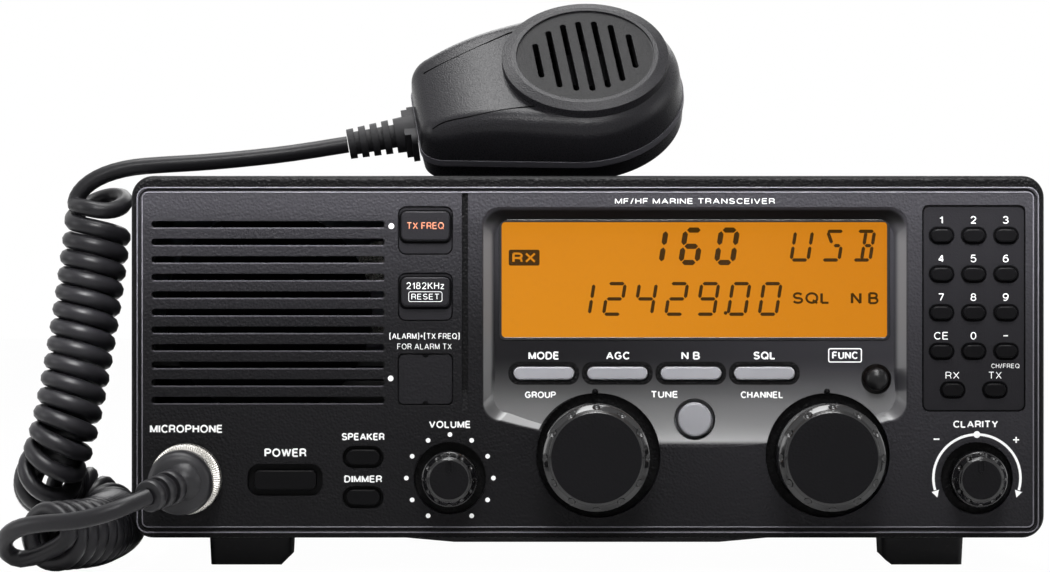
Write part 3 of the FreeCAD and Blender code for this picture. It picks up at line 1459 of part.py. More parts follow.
def mic_back_levels(inset):
    wall, deep = back_wall_height.value, back_depth.value
    flare = (deep - wall) / math.tan(math.radians(flank_angle.value))
    return [
        (inset, -gasket_half.value + inset * 0.5), (inset + 0.6, -wall),
        (inset + 0.6 + flare, -deep + inset),
    ]


def gland_frame():
    """Where the cord's gland leaves the neck, in the microphone's frame."""
    return Vector(-neck_length.value, 0, -gland_drop.value)


def gland_direction():
    """The gland droops a little from the microphone's own axis."""
    lean = math.radians(gland_lean.value)
    return Vector(-math.cos(lean), 0, -math.sin(lean))


def mic_back_shape():
    outer = mic_loft(mic_back_levels(0))
    inner = mic_loft(mic_back_levels(mic_wall.value))
    start = gland_frame()
    hole_radius = gland_end_radius.value - 2
    hole_start = start - Vector(mic_wall.value, 0, gland_drop.value)
    hole_start.z = -gasket_half.value - 1.4 * hole_radius
    hole = Part.makeCylinder(hole_radius, mic_wall.value * 4, hole_start, Vector(1, 0, 0))
    shape = outer.cut(inner).cut(hole).cut(talk_key_opening())
    for spot in fixing_places():
        bore_start, up = spot - Vector(0, 0, 1), Vector(0, 0, 1)
        shape = shape.cut(Part.makeCylinder(fixing_radius.value, 5 * mic_wall.value, bore_start, up))
    return shape.removeSplitter()


def fixing_places():
    """Screw heads and the hang button on the flat of the back."""
    z, spread = -back_depth.value, head_radius.value / 4.4
    return [
        Vector(-1.43 * spread, 0, z), Vector(1.57 * spread, spread, z),
        Vector(1.57 * spread, -spread, z), Vector(0.29 * spread, 0, z),
    ]


def talk_key_opening():
    """The hole for the push-to-talk key, through the upper side of the back shell."""
    gap, over = talk_key_gap.value, 4
    long, tall = talk_key_length.value + 2 * gap, talk_key_height.value + 2 * gap
    corner = Vector(
        -long / 2 - talk_key_offset.value, head_radius.value - mic_wall.value - 2 * over,
        -tall - gasket_half.value - 0.2,
    )
    return Part.makeBox(long, mic_wall.value + 3 * over, tall, corner)


def talk_key_shape():
    """The push-to-talk key on the upper side, curved as the head is."""
    long, tall = talk_key_length.value, talk_key_height.value
    low = -tall - gasket_half.value - 0.5
    outer = mic_loft([(-talk_key_reach.value, low), (-talk_key_reach.value, low + tall)])
    inner = mic_loft([(mic_wall.value + 0.6, low - 1), (mic_wall.value + 0.6, low + tall + 1)])
    keep = Part.makeBox(long, head_radius.value, tall, Vector(-long / 2 - talk_key_offset.value, 8, low))
    return outer.cut(inner).common(keep).removeSplitter()


def gasket_shape():
    outer = mic_loft([(-gasket_proud.value, -gasket_half.value), (-gasket_proud.value, gasket_half.value)])
    inner = mic_loft([(mic_wall.value, -3), (mic_wall.value, 3)])
    return outer.cut(inner)


def gland_shape():
    """Two plates on the neck's end, and a ribbed sleeve that narrows away from them."""
    start, along = gland_frame(), gland_direction()
    long, wide, thin = gland_length.value, gland_radius.value, gland_end_radius.value
    sleeve = Part.makeCone(wide, thin, long, start, along)
    for i in range(gland_rib_count):
        groove_start = start + along * (long * (0.32 + 0.17 * i))
        groove_long, core_radius = long * 0.07, thin - 1.1
        ring = Part.makeCylinder(wide + 1, groove_long, groove_start, along)
        core = Part.makeCylinder(core_radius, groove_long, groove_start, along)
        sleeve = sleeve.cut(ring.cut(core))
    level = start.x - gasket_proud.value - part_clearance.value
    rest = Part.makeBox(2 * wide, 4 * wide, 4 * wide, Vector(level, -2 * wide, start.z - 2 * wide))
    thick, across, tall = gland_plate_thickness.value, gland_plate_width.value, gland_plate_height.value
    top = start.z - wide + tall
    large = Part.makeBox(thick, across, tall, Vector(level - thick, -across / 2, top - tall))
    small = Part.makeBox(thick, 0.7 * across, 0.9 * tall, Vector(level - 2 * thick, -0.35 * across, top - 0.9 * tall))
    corners = [edge for edge in large.Edges if abs(edge.tangentAt(0).x) > 0.9]
    return sleeve.cut(rest).fuse([large.makeFillet(2.5, corners), small]).removeSplitter()


def element_shape():
    """The microphone capsule on its board behind the grille, in its rubber cup."""
    top = face_height.value - mic_wall.value
    long, wide = capsule_board_length.value, capsule_board_width.value
    cup = Part.makeCylinder(capsule_radius.value, 7, Vector(0, 0, top - 7.2))
    board = Part.makeBox(long, wide, 1.2, Vector(-0.65 * long, -wide / 2, top - 8.4))
    return face_tilted(cup.fuse(board))


def fixings_shape():
    """Three countersunk screws and the button that hangs the microphone on its hook."""
    up = Vector(0, 0, 1)
    spots = fixing_places()
    head_radius_here, shank_radius = fixing_head_radius.value, fixing_radius.value - 0.05
    solids = []
    for spot in spots[:3]:
        head = Part.makeCylinder(head_radius_here, 0.8, spot - up * 0.8, up)
        shank = Part.makeCylinder(shank_radius, 6, spot - up * 0.1, up)
        solids.append(head.fuse(shank))
    button = spots[3]
    neck = Part.makeCylinder(shank_radius, 4, button - up * 0.5, up)
    stalk = Part.makeCylinder(2 * shank_radius, 1.6, button - up * 1.6, up)
    disc = Part.makeCylinder(hang_button_radius.value, 1, button - up * 2.6, up)
    solids.append(neck.fuse([stalk, disc]))
    return Part.makeCompound(solids)


def make_microphone():
    """The microphone lies on one flank of its back, on the top cover."""
    shapes = {
        "mic_front_shell": mic_front_shape(),
        "mic_back_shell": mic_back_shape(),
        "mic_gasket": gasket_shape(),
        "mic_gland": gland_shape(),
        "mic_element": element_shape(),
        "mic_fixings": fixings_shape(),
        "talk_key": talk_key_shape(),
    }
    turn = mic_turn()
    seat = Vector(mic_seam_x.value, (front + mic_seam_depth).value, 0)
    lean = Placement(seat, turn).toMatrix()
    posed = [shapes[name].transformed(lean) for name in ("mic_back_shell", "mic_gasket")]
    lowest = min(shape.optimalBoundingBox(False).ZMin for shape in posed)
    seat.z = (cover_high + seat_clearance).value - lowest
    print("microphone seam height", round(seat.z, 2))
    for node, shape in shapes.items():
        item = doc.addObject("Part::Feature", node)
        item.Shape = shape
        item.Placement = Placement(seat, turn).multiply(shape.Placement)
        piece(node, item)
    return Placement(seat, turn)


# The cord's routes. They stay as chosen: the lead from the microphone, the middle of the
# curly stretch, and the tail that ends in the plug.
lead_route = [
    (-94.5, -101.9, 134.7), (-110.6, -103.0, 132.8), (-126.0, -103.4, 131.4),
    (-139.0, -103.3, 130.7), (-150.5, -103.2, 129.8), (-159.8, -103.4, 127.0),
    (-166.0, -103.7, 122.6), (-168.4, -104.0, 117.2),
]
coil_route = [
    (-159.6, -103.5, 116.5), (-161.8, -104.6, 98.0), (-164.6, -106.2, 78.0),
    (-167.8, -108.4, 58.0), (-171.6, -110.4, 40.0), (-176.2, -106.2, 28.4),
    (-178.6, -92.4, 24.6), (-178.8, -63.4, 24.2), (-157.8, -63.2, 11.9),
    (-157.2, -98.0, 11.8), (-158.0, -131.0, 11.8), (-161.4, -148.6, 11.8),
    (-170.6, -165.4, 11.8),
]
tail_route = [
    (-137.4, -180.0, 25.2), (-143.2, -184.4, 22.8), (-151.6, -185.6, 19.6),
    (-160.8, -183.6, 17.6), (-170.0, -179.4, 17.0), (-178.6, -174.0, 15.4),
    (-184.0, -167.0, 11.6), (-184.4, -160.0, 6.6), (-178.6, -157.4, 3.4),
]


def tube(route, radius, share):
    """A round tube along straight runs joined by tangent arcs, and its radii of turn."""
    points = [Vector(*p) for p in route]
    edges, radii = [], []
    last = points[0]
    for before, here, after in zip(points, points[1:], points[2:]):
        into, out = (here - before).normalize(), (after - here).normalize()
        half = into.getAngle(out) / 2
        shorter = min((here - before).Length, (after - here).Length)
        step = share * shorter
        radii.append(step / math.tan(half))
        start, end = here - into * step, here + out * step
        toward = (out - into).normalize()
        centre = here + toward * (radii[-1] / math.cos(half))
        middle = centre - toward * radii[-1]
        edges.append(Part.LineSegment(last, start).toShape())
        edges.append(Part.Arc(start, middle, end).toShape())
        last = end
    edges.append(Part.LineSegment(last, points[-1]).toShape())
    path = Part.Wire(edges)
    section = Part.Wire(Part.makeCircle(radius, points[0], points[1] - points[0]))
    solid = path.makePipeShell([section], True, True)
    print("radii", [round(r, 1) for r in radii], "length", round(path.Length, 1),
          "volume share", round(solid.Volume / (math.pi * radius ** 2 * path.Length), 4))
    return solid


def make_cord(mic_place):
    gland_end = mic_place.multVec(gland_frame() + gland_direction() * (gland_length.value + 0.25))
    routes = {
        "mic_lead": ([tuple(gland_end)] + lead_route, cord_diameter.value / 2, 0.45),
        "mic_coil": (coil_route, coil_diameter.value / 2, 0.49),
        "mic_tail": (tail_route, cord_diameter.value / 2, 0.45),
    }
    print("gland end", [round(v, 2) for v in gland_end])
    for node, (route, radius, share) in routes.items():
        item = doc.addObject("Part::Feature", node)
        item.Shape = tube(route, radius, share)
        piece(node, item)


def main():
    keys = key_table()
    make_front_panel(keys)
    make_keypad_panel(keys)
    for row in keys:
        make_key(row)
    make_blank_cover()
    make_window()
    make_display_board(keys)
    make_rotary_controls()
    for name, x, _, _, _ in knob_table[:2]:
        make_knob(name, x, big_knob_z, big_knob_radius, big_face_radius, knob_reach,
                  big_well_depth, dimple_radius, False)
    for name, x, _, _, _ in knob_table[2:]:
        make_knob(name, x, small_knob_z, small_knob_radius, small_face_radius, small_knob_reach,
                  small_well_depth, small_dimple_radius, True)
    make_speaker()
    make_covers()
    make_screws()
    make_chassis()
    make_heat_sink()
    make_boards()
    make_rear_sockets()
    make_antenna_socket()
    make_ground_terminal()
    make_feet()
    make_mic_socket_and_plug()
    mic_place = make_microphone()
    make_cord(mic_place)
    doc.recompute()
    write_parts()


def write_parts():
    for item in doc.Objects:
        if "Invalid" in item.State or "Error" in item.State:
            raise RuntimeError(f"{item.Name} did not build: {item.State}")
    os.makedirs("parts", exist_ok=True)
    for item in nodes:
        shape = item.Shape
        if shape.isNull() or not shape.isValid() or not shape.Solids:
            raise RuntimeError(f"{item.Label} has no valid solid")
        shape.exportStep(f"parts/{item.Label}.step")
    print(len(nodes), "parts written")


main()
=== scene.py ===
"""Dresses a marine radio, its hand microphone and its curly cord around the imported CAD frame."""

import math
from collections import namedtuple
from contextlib import contextmanager

import bpy
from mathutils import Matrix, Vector


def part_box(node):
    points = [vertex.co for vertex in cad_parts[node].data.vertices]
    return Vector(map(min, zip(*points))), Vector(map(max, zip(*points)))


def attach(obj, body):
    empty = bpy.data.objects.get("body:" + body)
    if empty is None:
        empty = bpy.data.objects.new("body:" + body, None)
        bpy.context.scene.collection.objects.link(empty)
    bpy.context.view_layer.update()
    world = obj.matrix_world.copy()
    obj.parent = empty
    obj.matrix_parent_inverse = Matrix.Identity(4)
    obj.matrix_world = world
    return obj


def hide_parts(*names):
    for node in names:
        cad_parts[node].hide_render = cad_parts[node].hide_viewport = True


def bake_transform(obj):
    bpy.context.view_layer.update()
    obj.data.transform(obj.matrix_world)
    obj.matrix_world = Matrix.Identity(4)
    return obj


bl_info = {
    "name": "Marine Radio",
    "version": (1, 0, 0),
    "blender": (4, 5, 0),
    "location": "3D View > Sidebar > Radio",
    "description": "Dresses a marine radio with its hand microphone and curly cord",
    "category": "Object",
}

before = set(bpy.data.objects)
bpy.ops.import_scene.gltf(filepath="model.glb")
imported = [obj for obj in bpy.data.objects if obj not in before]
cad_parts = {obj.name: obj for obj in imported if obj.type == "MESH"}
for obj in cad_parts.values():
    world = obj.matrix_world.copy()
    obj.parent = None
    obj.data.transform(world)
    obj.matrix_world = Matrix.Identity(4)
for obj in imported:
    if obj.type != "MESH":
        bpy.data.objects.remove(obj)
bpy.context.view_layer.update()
MM = 0.001
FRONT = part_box("front_panel")[0][1]


def at(x, y, z):
    """A point in metres from millimetres."""
    return Vector((x, y, z)) * MM


def on_panel(x, z, depth=0):
    """A point in metres, from millimetres on the panel and behind its front plane."""
    return Vector((x * MM, FRONT + depth * MM, z * MM))


def box_of(node):
    """The middle and the size of a node's box, in millimetres."""
    low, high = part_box(node)
    return (low + high) / 2 / MM, (high - low) / MM


# Materials


class Value:
    """A number or colour that changes over a surface: a socket with arithmetic on it."""

    def __init__(self, graph, socket):
        self.graph = graph
        self.socket = socket

    def __add__(self, other):
        return self.graph.calculate("ADD", self, other)

    def __sub__(self, other):
        return self.graph.calculate("SUBTRACT", self, other)

    def __rsub__(self, other):
        return self.graph.calculate("SUBTRACT", other, self)

    def __mul__(self, other):
        return self.graph.calculate("MULTIPLY", self, other)

    def __truediv__(self, other):
        return self.graph.calculate("DIVIDE", self, other)

    def __pow__(self, other):
        return self.graph.calculate("POWER", self, other)


class Graph:
    """A material and its nodes."""

    def __init__(self, name, **sockets):
        self.material = bpy.data.materials.new(name)
        self.material.use_nodes = True
        self.tree = self.material.node_tree
        self.shader = self.tree.nodes["Principled BSDF"]
        self.place = self.node("ShaderNodeTexCoord", output="Object")
        self.finish(**sockets)

    def node(self, kind, settings=None, inputs=None, output=0):
        """Adds a node: its settings first, then the values or links of its sockets."""
        made = self.tree.nodes.new(kind)
        for key, value in (settings or {}).items():
            setattr(made, key, value)
        for key, value in (inputs or {}).items():
            self.fill(made.inputs[key], value)
        return Value(self, made.outputs[output])

    def calculate(self, operation, *values):
        return self.node("ShaderNodeMath", {"operation": operation}, dict(enumerate(values)))

    def fill(self, socket, value):
        if isinstance(value, Value):
            self.tree.links.new(value.socket, socket)
        else:
            socket.default_value = value

    def finish(self, **sockets):
        """Sets the shader's own sockets, such as base_color or coat_weight."""
        for key, value in sockets.items():
            name = key.replace("_", " ").title().replace("Ior", "IOR")
            self.fill(self.shader.inputs[name], value)
        return self.material

    def noise(self, scale, detail=3.0, roughness=0.55):
        return self.node(
            "ShaderNodeTexNoise",
            inputs={"Vector": self.place, "Scale": scale, "Detail": detail, "Roughness": roughness},
        )

    def pebbles(self, scale, smoothness=0.6):
        """Rounded cells, as in moulded leather grain."""
        return self.node(
            "ShaderNodeTexVoronoi",
            {"feature": "SMOOTH_F1"},
            {"Vector": self.place, "Scale": scale, "Smoothness": smoothness},
        )

    def mix(self, factor, first, second):
        return self.node(
            "ShaderNodeMix", {"data_type": "RGBA"}, {0: factor, 6: first, 7: second}, output=2
        )

    def mix_directions(self, factor, first, second):
        return self.node(
            "ShaderNodeMix", {"data_type": "VECTOR"}, {0: factor, 4: first, 5: second}, output=1
        )

    def ramp(self, value, low, high):
        """Goes from 0 to 1 as a value goes from low to high."""
        return self.node(
            "ShaderNodeMapRange",
            {"interpolation_type": "SMOOTHSTEP"},
            {"Value": value, "From Min": low, "From Max": high},
        )

    def raised(self, height, distance):
        """The direction of a surface raised by a height, over edges that are rounded a little."""
        rounded = self.node("ShaderNodeBevel", {"samples": 4}, {"Radius": EDGE_RADIUS * MM})
        return self.node(
            "ShaderNodeBump", inputs={"Height": height, "Distance": distance, "Normal": rounded}
        )

    def bump(self, height, distance):
        return self.finish(normal=self.raised(height, distance))

    def part(self, axis):
        """One coordinate of the place on the surface, in millimetres."""
        return self.node("ShaderNodeSeparateXYZ", inputs={0: self.place}, output=axis) * (1 / MM)

    def larger(self, first, second):
        return self.calculate("MAXIMUM", first, second)

    def size_of(self, value):
        return self.calculate("ABSOLUTE", value)

    def from_axis(self, x, z):
        """The distance in millimetres from an axis along Y."""
        across, up = self.part("X") - x, self.part("Z") - z
        return (across * across + up * up) ** 0.5

    def past_outline(self, x, z, width, height, corner):
        """How far in millimetres a place lies outside a box with rounded corners on the panel."""
        over_x = self.size_of(self.part("X") - x) - (width / 2 - corner)
        over_z = self.size_of(self.part("Z") - z) - (height / 2 - corner)
        out_x, out_z = self.larger(over_x, 0.0), self.larger(over_z, 0.0)
        return (out_x * out_x + out_z * out_z) ** 0.5 - corner

    def from_point(self, x, y, z):
        """The distance in millimetres from a point."""
        measured = self.node(
            "ShaderNodeVectorMath", {"operation": "DISTANCE"}, {0: self.place, 1: at(x, y, z)}, "Value"
        )
        return measured * (1 / MM)


def grey(level):
    """A cool grey, as black plastic has it."""
    return (level, level * 0.97, level * 1.12, 1)


def shaded(colour, share, more=0.0):
    """A colour with its parts multiplied by a share and raised."""
    return tuple(part * share + more for part in colour[:3]) + (1,)


EDGE_RADIUS = 0.35
# Places along Y, in millimetres, where the painted shade at the front of the castings and boards fades out
FRONT_SHADE_RANGE = (-60.0, -30.0)
BLACK = grey(0.002)
WHITE = (1, 1, 1, 1)
NICKEL = (0.62, 0.6, 0.56, 1)
PRINT_WHITE = (0.62, 0.62, 0.62, 1)
PRINT_ORANGE = (0.5, 0.17, 0.09, 1)
SILVER = (0.25, 0.25, 0.27, 1)
AMBER_BRIGHT, AMBER_DIM = (0.79, 0.29, 0.016, 1), (0.63, 0.205, 0.008, 1)
AMBER_BODY, SEGMENT_GLOW = (0.01, 0.004, 0.001, 1), (0.062, 0.027, 0.002, 1)
MASK_COLOURS = {
    "Color1": (0.012, 0.09, 0.03, 1), "Color2": (0.015, 0.11, 0.04, 1), "Mortar": (0.05, 0.2, 0.08, 1),
}
FLOOR_COLOUR = (0.86, 0.86, 0.86, 1)


def moulded(name, colour, roughness=0.5, cell=1.1, depth=0.09, gloss=0.25):
    """Moulded plastic with a leather-like grain of the given cell size in millimetres."""
    graph = Graph(name, specular_ior_level=gloss)
    pebbles = graph.pebbles(1000 / cell)
    fine = graph.noise(2600 / cell, 2.0)
    cloud = graph.noise(22.0)
    graph.finish(
        base_color=graph.mix(cloud, shaded(colour, 0.8), colour),
        roughness=graph.ramp(pebbles, 0.2, 0.9) * 0.14 + cloud * 0.06 + (roughness - 0.1),
    )
    return graph.bump(pebbles + fine * 0.35, depth * MM)


def smooth_plastic(name, colour, roughness=0.35, wear=0.005, gloss=0.25):
    """Plastic with a fine finish and faint handling marks."""
    graph = Graph(name, specular_ior_level=gloss)
    cloud, fine = graph.noise(60.0), graph.noise(2400.0, 2.0)
    graph.finish(
        base_color=graph.mix(cloud, colour, shaded(colour, 1, wear)),
        roughness=cloud * 0.1 + (roughness - 0.05),
    )
    return graph.bump(fine, 0.008 * MM)


def rubber(name, colour, roughness=0.55, gloss=0.3):
    """Rubber with specks of dust."""
    graph = Graph(name, specular_ior_level=gloss)
    cloud, dust = graph.noise(35.0), graph.noise(900.0, 4.0, 0.7)
    graph.finish(
        base_color=graph.mix(graph.ramp(dust, 0.55, 0.8), colour, shaded(colour, 1.5, 0.004)),
        roughness=cloud * 0.15 + (roughness - 0.08),
    )
    return graph.bump(dust, 0.012 * MM)


def plated(name, colour, roughness=0.22):
    """Plated metal with fine scratches."""
    graph = Graph(name, metallic=1.0)
    cloud, scratches = graph.noise(90.0), graph.noise(1400.0, 4.0, 0.7)
    graph.finish(
        base_color=graph.mix(cloud, shaded(colour, 0.82), colour),
        roughness=graph.ramp(scratches, 0.4, 0.8) * 0.12 + roughness,
    )
    return graph.bump(scratches, 0.004 * MM)


def cast_metal(name, colour, roughness=0.45, metallic=1.0):
    """Castings of plain metal, black at the front from painted shade, where they stand in the dark behind
    the speaker's slots.
    """
    graph = Graph(name)
    grain, cloud = graph.noise(700.0, 5.0, 0.6), graph.noise(18.0)
    out_of_shade = graph.ramp(graph.part("Y"), *FRONT_SHADE_RANGE)
    graph.finish(
        base_color=graph.mix(out_of_shade, BLACK, graph.mix(cloud, shaded(colour, 0.8), colour)),
        metallic=out_of_shade * metallic,
        roughness=grain * 0.2 + (roughness - 0.1),
    )
    return graph.bump(grain, 0.03 * MM)


def textured_paint(name, colour, roughness=0.5):
    """Powder coat on sheet metal."""
    graph = Graph(name, specular_ior_level=0.3)
    orange_peel, cloud = graph.noise(1500.0, 3.0, 0.6), graph.noise(14.0)
    graph.finish(
        base_color=graph.mix(cloud, colour, shaded(colour, 1.25)),
        roughness=cloud * 0.1 + (roughness - 0.05),
    )
    return graph.bump(orange_peel, 0.035 * MM)


def circuit_board(name):
    """Green solder mask over copper tracks, black at the front from painted shade, like the castings."""
    graph = Graph(name, coat_weight=0.3, coat_roughness=0.15)
    tracks = graph.node(
        "ShaderNodeTexBrick", {"offset": 0.35},
        {"Vector": graph.place, "Scale": 160.0, "Mortar Size": 0.012, **MASK_COLOURS},
    )
    out_of_shade = graph.ramp(graph.part("Y"), *FRONT_SHADE_RANGE)
    roughness = graph.noise(300.0) * 0.2 + 0.3
    return graph.finish(base_color=graph.mix(out_of_shade, BLACK, tracks), roughness=roughness)


def amber_light(name):
    """The lit liquid crystal display: amber, a little brighter towards its lower left."""
    graph = Graph(name, base_color=AMBER_BODY, roughness=0.7, emission_strength=1.0, specular_ior_level=0.0)
    middle, size = box_of("display_window")
    across = graph.ramp(graph.part("X"), middle.x - size.x / 2 + 20, middle.x + size.x / 2 + 10)
    up = graph.ramp(graph.part("Z"), middle.z - size.z / 2 - 10, middle.z + size.z / 2 + 20)
    dimmer = across * 0.4 + up * 0.25 + graph.noise(14.0) * 0.3
    return graph.finish(emission_color=graph.mix(dimmer, AMBER_BRIGHT, AMBER_DIM))


def window_glass(name):
    """Clear glass with hardly any reflection."""
    graph = Graph(name, base_color=grey(0.004), alpha=0.05, specular_ior_level=0.04)
    return graph.finish(roughness=graph.noise(40.0) * 0.05 + 0.05)


def printed(name, colour, glow=0.0):
    """Printing ink, with a little painted light: an emission that makes it look brighter lit."""
    graph = Graph(name, emission_color=colour, emission_strength=glow)
    cloud = graph.noise(1200.0)
    inked = graph.mix(cloud, shaded(colour, 0.85), colour)
    return graph.finish(base_color=inked, roughness=cloud * 0.2 + 0.4)


# The panel's places, in millimetres

SCOOP = {
    "x": 34.2, "half_width": 69.2, "low": 39.0, "top": 116.0, "depth": 4.0,
    "cove": 63.0, "cove_radius": 58.0,
}

# Radius and reach of a knob, its foot, the radii of its face and lip, its cone's height and its dimples

Knob = namedtuple("Knob", "radius reach base face lip cone dimple stretch")
BIG_KNOB = Knob(16.9, 24.0, 5.4, 14.55, 14.9, 2.4, 1.6, 1.0)
SMALL_KNOB = Knob(8.8, 15.0, 3.8, 6.5, 6.8, 4.4, 1.15, 2.0)
KNOBS = {
    "group": (2.4, 36.7, BIG_KNOB), "channel": (76.6, 36.7, BIG_KNOB),
    "volume": (-44.0, 29.5, SMALL_KNOB), "clarity": (124.2, 29.5, SMALL_KNOB),
}
BIG_WELL = 19.8
TUNE_HOLE = (34.2, 48.2, 6.7)
FUNCTION_KEY = (92.4, 61.0, 3.6)
PLUG, PLUG_TEETH = (-127.9, 29.4), 90
SCOOP_KEYS = ["mode_key", "agc_key", "noise_blanker_key", "squelch_key"]
KEY_GAP = 0.75
FRAME = (0.0, 67.2, 288.0, 110.4, 3.4)
INNER_FRAME = (0.0, 67.3, 284.8, 107.2, 2.0)
SLOTS = {"x": -102.0, "width": 74.5, "top": 110.5, "pitch": 5.61, "count": 11, "half_height": 1.05}
SQUARE_KEY_X, SEND_KEY_Z, DISTRESS_KEY_Z = -51.8, 109.7, 88.7
SQUARE_KEY, SQUARE_KEY_RISE, SKIRT_DEPTH = (15.4, 9.3), 1.0, 0.5
PAD_KEY, PLATE_DEPTH = (6.8, 4.15), 0.2
PIP_Z, GAP_RISE = 57.0, 0.04
PANEL_GRAIN = 0.9

# Heights, and places across, between which the panel's painted light and shade change

TOP_BAND, UPPER_BAND, LOWER_BAND, SIDE_BAND = (119.0, 107.0), (107.0, 72.0), (48.0, 14.0), (-20.0, 110.0)


def slot_edge_highlights(graph, across, up):
    """A painted highlight along the lower edges of the speaker's slots, where their chamfers face the
    light.
    """
    half, top, pitch, edge = SLOTS["width"] / 2, SLOTS["top"], SLOTS["pitch"], SLOTS["half_height"]
    last = top - (SLOTS["count"] - 0.5) * pitch
    inside = graph.ramp(graph.size_of(across - SLOTS["x"]), half, half - 1)
    inside = inside * graph.ramp(up, top + 1, top) * graph.ramp(up, last, last + 0.1 * pitch)
    below = graph.calculate("FRACT", (top - up) / pitch) * pitch
    return inside * graph.ramp(below, edge - 0.1, edge + 0.05) * graph.ramp(below, edge + 0.5, edge + 0.3)


def scoop_area(graph, across, up, depth):
    """1 on the walls and floor of the display's scoop, and 0 in the wells and holes there."""
    area = graph.ramp(depth, 0.2, 0.7) * graph.ramp(up, SCOOP["low"] - 0.5, SCOOP["low"])
    area = area * graph.ramp(depth, SCOOP["depth"] + 0.6, SCOOP["depth"] + 0.3)
    for side in (-1, 1):
        edge = SCOOP["x"] * side + SCOOP["half_width"]
        area = area * graph.ramp(across * side, edge + 0.2, edge)
    for x, z, shape in KNOBS.values():
        if shape is BIG_KNOB:
            area = area * graph.ramp(graph.from_axis(x, z), BIG_WELL - 0.1, BIG_WELL + 0.1)
    x, z, radius = TUNE_HOLE
    area = area * graph.ramp(graph.from_axis(x, z), radius - 0.2, radius)
    for key in SCOOP_KEYS:
        middle, size = box_of(key)
        hole = graph.past_outline(middle.x, middle.z, size.x, size.z, size.z / 2 - 0.3)
        area = area * graph.ramp(hole, KEY_GAP - 0.1, KEY_GAP)
    return area


def panel_painted_light(graph, across, up, colour):
    """The panel's colour with painted light and shade: lighter at the top, where light falls from above,
    darker downwards and less so at the right.
    """
    right = graph.ramp(across, *SIDE_BAND)
    upper = graph.mix(right, grey(0.017), grey(0.027))
    lower = graph.mix(right, grey(0.007), grey(0.024))
    tone = graph.mix(graph.ramp(up, *UPPER_BAND), upper, lower)
    tone = graph.mix(graph.ramp(up, *TOP_BAND), colour, tone)
    tone = graph.mix(graph.ramp(up, *LOWER_BAND) * 0.5, tone, grey(0.004))
    return graph.mix(graph.noise(22.0) * 0.2, tone, BLACK)


def panel_moulding(name, colour):
    """Leather-grained plastic, satin on the walls and the cove of the display's scoop. Painted shade makes
    it black in gaps and deep recesses, under the scoop's top edge and on the border beyond the frame, where
    the edge curves back; painted highlights brighten the slots' lower edges.
    """
    graph = Graph(name, specular_ior_level=0.08, coat_roughness=0.32, coat_ior=1.75)
    across, up, depth = graph.part("X"), graph.part("Z"), graph.part("Y") - FRONT / MM
    scoop = scoop_area(graph, across, up, depth)
    # Painted shade: black in deep gaps and wells, under the scoop's top, and on the rounded border past the
    # frame
    gap = graph.ramp(depth, 0.5, 0.9) * (1 - scoop)
    shadow = graph.ramp(up, SCOOP["top"] - 7, SCOOP["top"] - 4) * graph.ramp(depth, 0.4, 1.2)
    frame_shade = graph.ramp(graph.past_outline(*FRAME), -0.1, 0.1)
    wall = graph.ramp(depth, SCOOP["depth"] - 0.2, SCOOP["depth"] - 1.6)
    cove = graph.ramp(up, SCOOP["cove"] + 6, SCOOP["cove"] - 12)
    lit = graph.ramp(up, SCOOP["top"] - 2, SCOOP["top"] - 12)
    # Painted highlights under the slots, over the panel's painted light and shade
    highlighted = graph.mix(slot_edge_highlights(graph, across, up), panel_painted_light(graph, across, up, colour), grey(0.06))
    pebbles, fine = graph.pebbles(1000 / PANEL_GRAIN), graph.noise(2600.0, 2.0)
    graph.finish(
        base_color=graph.mix(graph.larger(graph.larger(gap, shadow), frame_shade), highlighted, BLACK),
        roughness=graph.ramp(pebbles, 0.2, 0.9) * 0.14 + graph.noise(22.0) * 0.06 + 0.34,
        coat_weight=scoop * graph.larger(wall, cove) * lit,
    )
    grain = graph.raised(pebbles + fine * 0.35, 0.2 * MM)
    fall = graph.larger(SCOOP["cove"] - up, 0.0)
    bowl = graph.raised(fall * fall / (2 * SCOOP["cove_radius"]) + fine * 0.02, MM)
    return graph.finish(normal=graph.mix_directions(scoop, grain, bowl))


MIC_DISC = (-0.4, -111.4, 163.8)
MIC_DISC_RADIUS = 22.6


def mic_moulding(name, colour):
    """The microphone's shell: grained plastic, with painted shade that darkens the recessed middle inside
    the ring round its grille.
    """
    graph = Graph(name, specular_ior_level=0.16)
    disc_shade = graph.ramp(graph.from_point(*MIC_DISC), MIC_DISC_RADIUS, MIC_DISC_RADIUS - 0.3)
    pebbles, fine, cloud = graph.pebbles(2000.0), graph.noise(5000.0, 2.0), graph.noise(22.0)
    roughness = graph.ramp(pebbles, 0.2, 0.9) * 0.12 + cloud * 0.08 + disc_shade * 0.2 + 0.22
    graph.finish(base_color=graph.mix(disc_shade, colour, shaded(colour, 0.3)), roughness=roughness)
    return graph.bump(pebbles + fine * 0.35, 0.05 * MM)


def knurled_metal(name, colour, x, z, teeth):
    """Plated metal with fine teeth round an axis along Y."""
    graph = Graph(name, metallic=1.0)
    angle = graph.calculate("ARCTAN2", graph.part("Z") - z, graph.part("X") - x)
    wave = graph.calculate("SINE", angle * teeth)
    cloud = graph.noise(90.0)
    graph.finish(base_color=graph.mix(cloud, shaded(colour, 0.8), colour), roughness=cloud * 0.1 + 0.25)
    return graph.bump(wave, 0.12 * MM)


def segment_ink(name):
    """Dark segments with the backlight showing faintly through them."""
    graph = Graph(name, roughness=0.8, specular_ior_level=0.0, emission_strength=1.0)
    graph.finish(base_color=graph.mix(graph.noise(200.0), BLACK, grey(0.004)))
    return graph.finish(emission_color=SEGMENT_GLOW)


